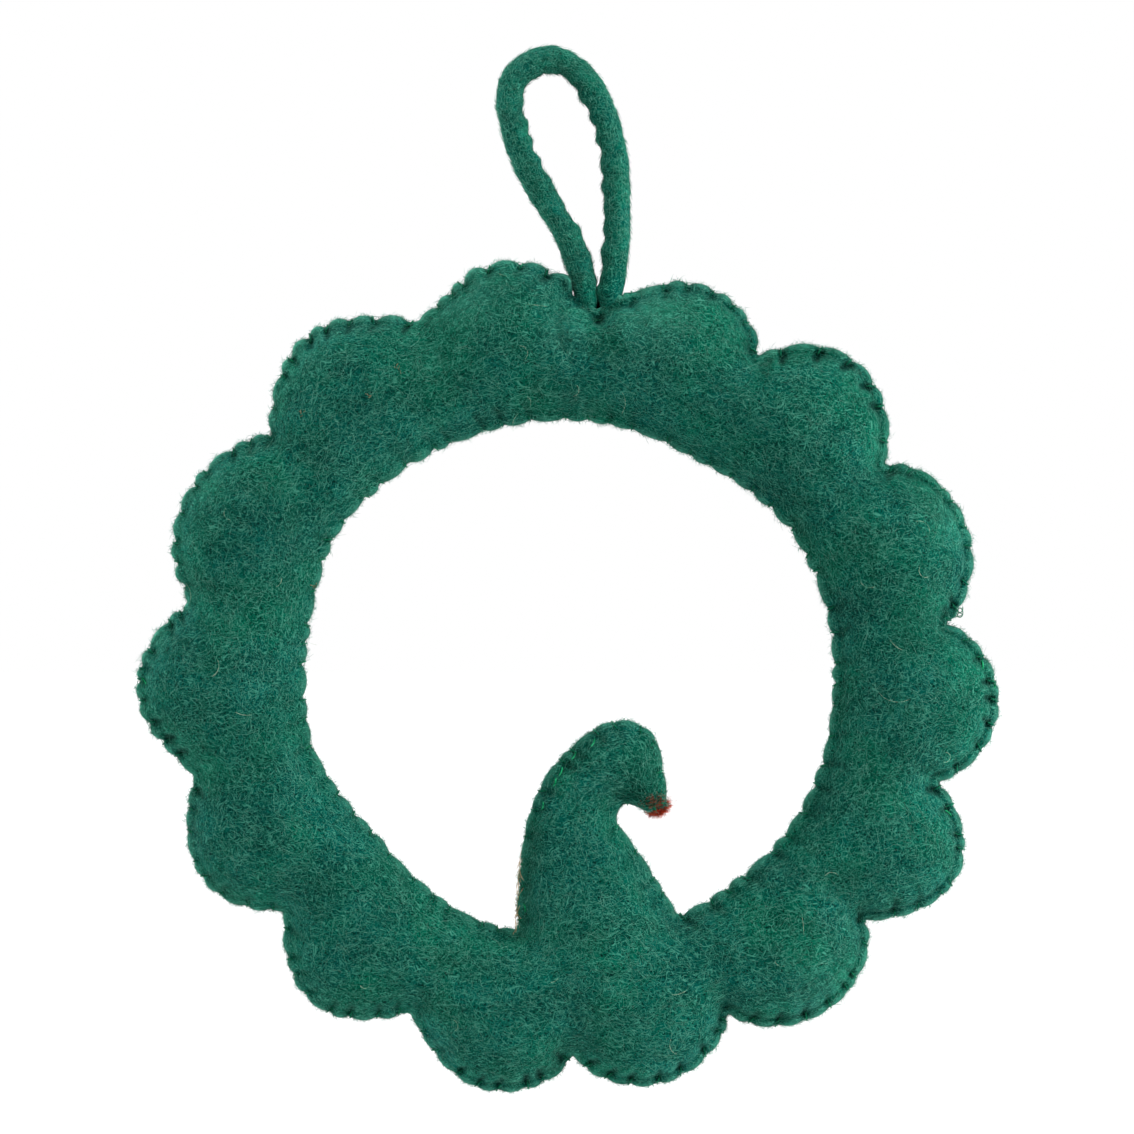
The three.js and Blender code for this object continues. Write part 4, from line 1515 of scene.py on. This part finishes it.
# %% Fuzz on the rope
def rope_fuzz(count):
    lines = np.zeros((count, 5, 3))
    free = [k for k, centre in enumerate(rope_line) if centre[2] > pivot.z - 2 * MM]
    for k in range(count):
        first = int(chance.choice(free[:-9]))
        ways = int(chance.integers(2, 6))
        side, drift = chance.uniform(0, ROPE_SIDES), chance.normal(0, 2.6)
        lift = chance.uniform(0.05, 1.3) * MM
        for step in range(5):
            share = step / 4
            ring = rings[min(first + int(round(ways * share)), len(rings) - 1)]
            spot = ring[int(round(side + drift * share)) % ROPE_SIDES]
            centre = sum(ring, Vector()) / ROPE_SIDES
            lines[k, step] = spot + (spot - centre).normalized() * (lift * share ** 1.6 - 0.05 * MM)
    return lines


lines = rope_fuzz(6000)
rope_fringe = strand_mesh("rope_fringe", lines, chance.uniform(0.04, 0.06, len(lines)) * MM, rope_fibre)
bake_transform(rope_fringe)
print("rope_fringe", len(rope_fringe.data.polygons), "faces")

# %% [markdown]
# ## The red wool at the hat's tip
# A tuft of red wool is needle felted on behind the end of the hat, and only its edge shows past
# the green from this side. It is a soft lump with strands that stand out of it.

# %% Red tuft
TUFT_CENTRE = Vector((39.0 * MM, 2.8 * MM, -260.5 * MM))
TUFT_SIZE, TUFT_TURN = (3.1, 2.4, 1.2), -24
bpy.ops.object.select_all(action="DESELECT")
bpy.ops.mesh.primitive_uv_sphere_add(segments=36, ring_count=20, radius=1)
tuft = bpy.context.active_object
tuft.name = "tip_tuft"
for vertex in tuft.data.vertices:
    way = Vector([part * size for part, size in zip(vertex.co, TUFT_SIZE)]) * MM
    turned = Matrix.Rotation(math.radians(TUFT_TURN), 3, "Y") @ way
    lump = 1 + 0.16 * wobble(turned, 420, 3) + 0.1 * wobble(turned, 1100, 5)
    vertex.co = TUFT_CENTRE + turned * lump
tuft.data.materials.append(wool(
    "red_wool", deep=linear(84, 14, 10), body=linear(150, 40, 26), cool=linear(134, 32, 28),
    strand=linear(198, 80, 58), strand_length=3 * MM, strand_width=0.22 * MM,
))
tuft.data.shade_smooth()
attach(tuft, "wreath")
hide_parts("hat_tip_wool")


def tuft_fibres(count):
    lines = np.zeros((count, 4, 3))
    middle = np.array(TUFT_CENTRE)
    for k in range(count):
        vertex = np.array(tuft.data.vertices[int(chance.integers(len(tuft.data.vertices)))].co)
        way = (vertex - middle) / np.linalg.norm(vertex - middle)
        aside = np.cross(way, chance.normal(0, 1, 3))
        aside /= np.linalg.norm(aside)
        length = chance.uniform(1.0, 1.85) ** 2 * MM
        for step in range(4):
            share = step / 3
            lines[k, step] = vertex + way * length * share * 0.85 + aside * length * 0.55 * share ** 1.5
    return lines


lines = tuft_fibres(1200)
tuft_hair = strand_mesh("tip_tuft_fibres", lines, chance.uniform(0.05, 0.08, len(lines)) * MM, red_fibre)
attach(tuft_hair, "wreath")
print("tip_tuft", len(tuft.data.polygons), "faces and", len(tuft_hair.data.polygons), "in its fibres")

# %% [markdown]
# ## Stray fibres and ends
# The fleece is never pure: a few tan and cream fibres are felted in with the green, and a line of
# straw coloured ones runs up the hat's left edge. Red ones have strayed from the tuft onto the tip.
# Some thread ends show brighter than the felt, and one loose curl of thread stands out of a notch
# on the right. Each is laid on the felt where the photograph has it.

# %% Lay strays on the felt
back_surface = tree_of(back_felt)


STRAY_STEPS = 9


def on_back(x, z, lift):
    hit = back_surface.ray_cast(Vector((x * MM, -CAST_FROM, z * MM)), Vector((0, 1, 0)))
    depth = hit[0].y / MM if hit[0] is not None else -1.0
    return (x, depth - lift, z)


def stray(x, z, length, heading, bend, lift=0.2):
    line, parts = [], STRAY_STEPS - 1
    for k in range(STRAY_STEPS):
        line.append(on_back(x, z, lift + 0.25 * math.sin(math.pi * k / parts)))
        x += math.cos(heading) * length / parts
        z += math.sin(heading) * length / parts
        heading += bend / parts
    return line


def tangle(x, z, many, size):
    return [stray(x + chance.normal(0, size / 3), z + chance.normal(0, size / 3),
                  chance.uniform(0.7, 1.6) * size, chance.uniform(0, 6.28), chance.uniform(-4, 4))
            for _ in range(many)]


def strays_piece(name, lines, radius, material):
    lines = np.array(lines) * MM
    piece = strand_mesh(name, lines, chance.uniform(*radius, len(lines)) * MM, material, sides=4)
    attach(piece, "wreath")
    print(name, len(lines), "lines")


cream_fibre = fibre_wool("cream_fibre", linear(96, 160, 130), linear(190, 206, 178))
bright_thread = fibre_wool("bright_thread", linear(0, 110, 62), linear(40, 172, 112))
tan_lines = []
for spot_x, spot_z in ((-86.7, -121.1), (-63.0, -115.1), (-52.7, -105.6), (-82.4, -181.3)):
    tan_lines += tangle(spot_x, spot_z, 5, 1.2)
strays_piece("tan_fibres", tan_lines, (0.03, 0.06), tan_fibre)

straw_z, straw_x = [-304, -290, -276], [-11.4, -11.0, -9.8]
straw_lines = []
for _ in range(60):
    z = chance.uniform(-303, -276)
    x = float(np.interp(z, straw_z, straw_x)) + chance.normal(-0.1, 0.22)
    length = chance.uniform(1.5, 5)
    heading = chance.choice([1.5, -1.64]) + chance.normal(0, 0.12)
    straw_lines.append(stray(x, z, length, heading, chance.normal(0, 0.5)))
strays_piece("straw_fibres", straw_lines, (0.05, 0.09), straw_fibre)

russet_fibre = fibre_wool("russet_fibre", linear(60, 40, 26), linear(150, 58, 40))
red_lines = [stray(chance.normal(38.6, 2.8), -259.8 + abs(chance.normal(0, 2.6)), chance.uniform(0.8, 2.4),
                   chance.uniform(0, 6.28), chance.normal(0, 2)) for _ in range(150)]
strays_piece("red_strays", red_lines, (0.025, 0.04), russet_fibre)

cream_lines = [stray(14.5, -233.6, 9, 0.4, 1.8), stray(115.3, -218.4, 13, -0.9, 1.6)]
for x, z in scatter(26):
    cream_lines.append(stray(x, z, chance.uniform(3, 9), chance.uniform(0, 6.28), chance.normal(0, 2.2)))
strays_piece("cream_fibres", cream_lines, (0.03, 0.045), cream_fibre)

# Where ends of thread show, and which way each points.
thread_ends = [
    (153.5, -209.6, 1.2), (157.8, -216.3, 1.3), (141.5, -261.6, 2.0), (-142.6, -214.9, 1.9),
    (15.9, -237.2, 0.7), (9.2, -241.8, 0.7), (4.6, -247.4, 0.8), (2.5, -251.0, 0.9), (-1.8, -259.4, 1.0),
    (-8.1, -295.2, 1.4),
]
thread_lines = []
for x, z, heading in thread_ends:
    root_x, root_z = x - math.cos(heading) * 1.6, z - math.sin(heading) * 1.6
    thread_lines.append(stray(root_x, root_z, 3.4, heading, 0.9, 0.05))
strays_piece("thread_ends", thread_lines, (0.2, 0.26), bright_thread)

# %% The loose curl and the tack
CURL_STEPS = 32
curl = [(142.6, -1.4, -190.6), (144.0, -1.7, -192.4)]
for k in range(CURL_STEPS + 1):
    share = k / CURL_STEPS
    turn = 0.5 + 4.0 * math.pi * share
    across, up = math.cos(turn) * (1 - 0.2 * share), 1.2 * math.sin(turn)
    curl.append((145.3 + across, -1.6 - 1.2 * share, -192.6 + 3.4 * share + up))
strays_piece("loose_curl", [curl], (0.16, 0.17), thread_green)


def over_tack(across, up):
    """One thread over the tack's dimple, that far to either side of its middle."""
    shares = np.linspace(-1, 1, 5)
    return [on_back(TACK[0] + across * share, TACK[1] + up * share, -0.1) for share in shares]


tack = [over_tack(1.9, 0.7), over_tack(1.6, -0.8)]
strays_piece("tack_stitch", tack, (0.22, 0.24), thread_green)
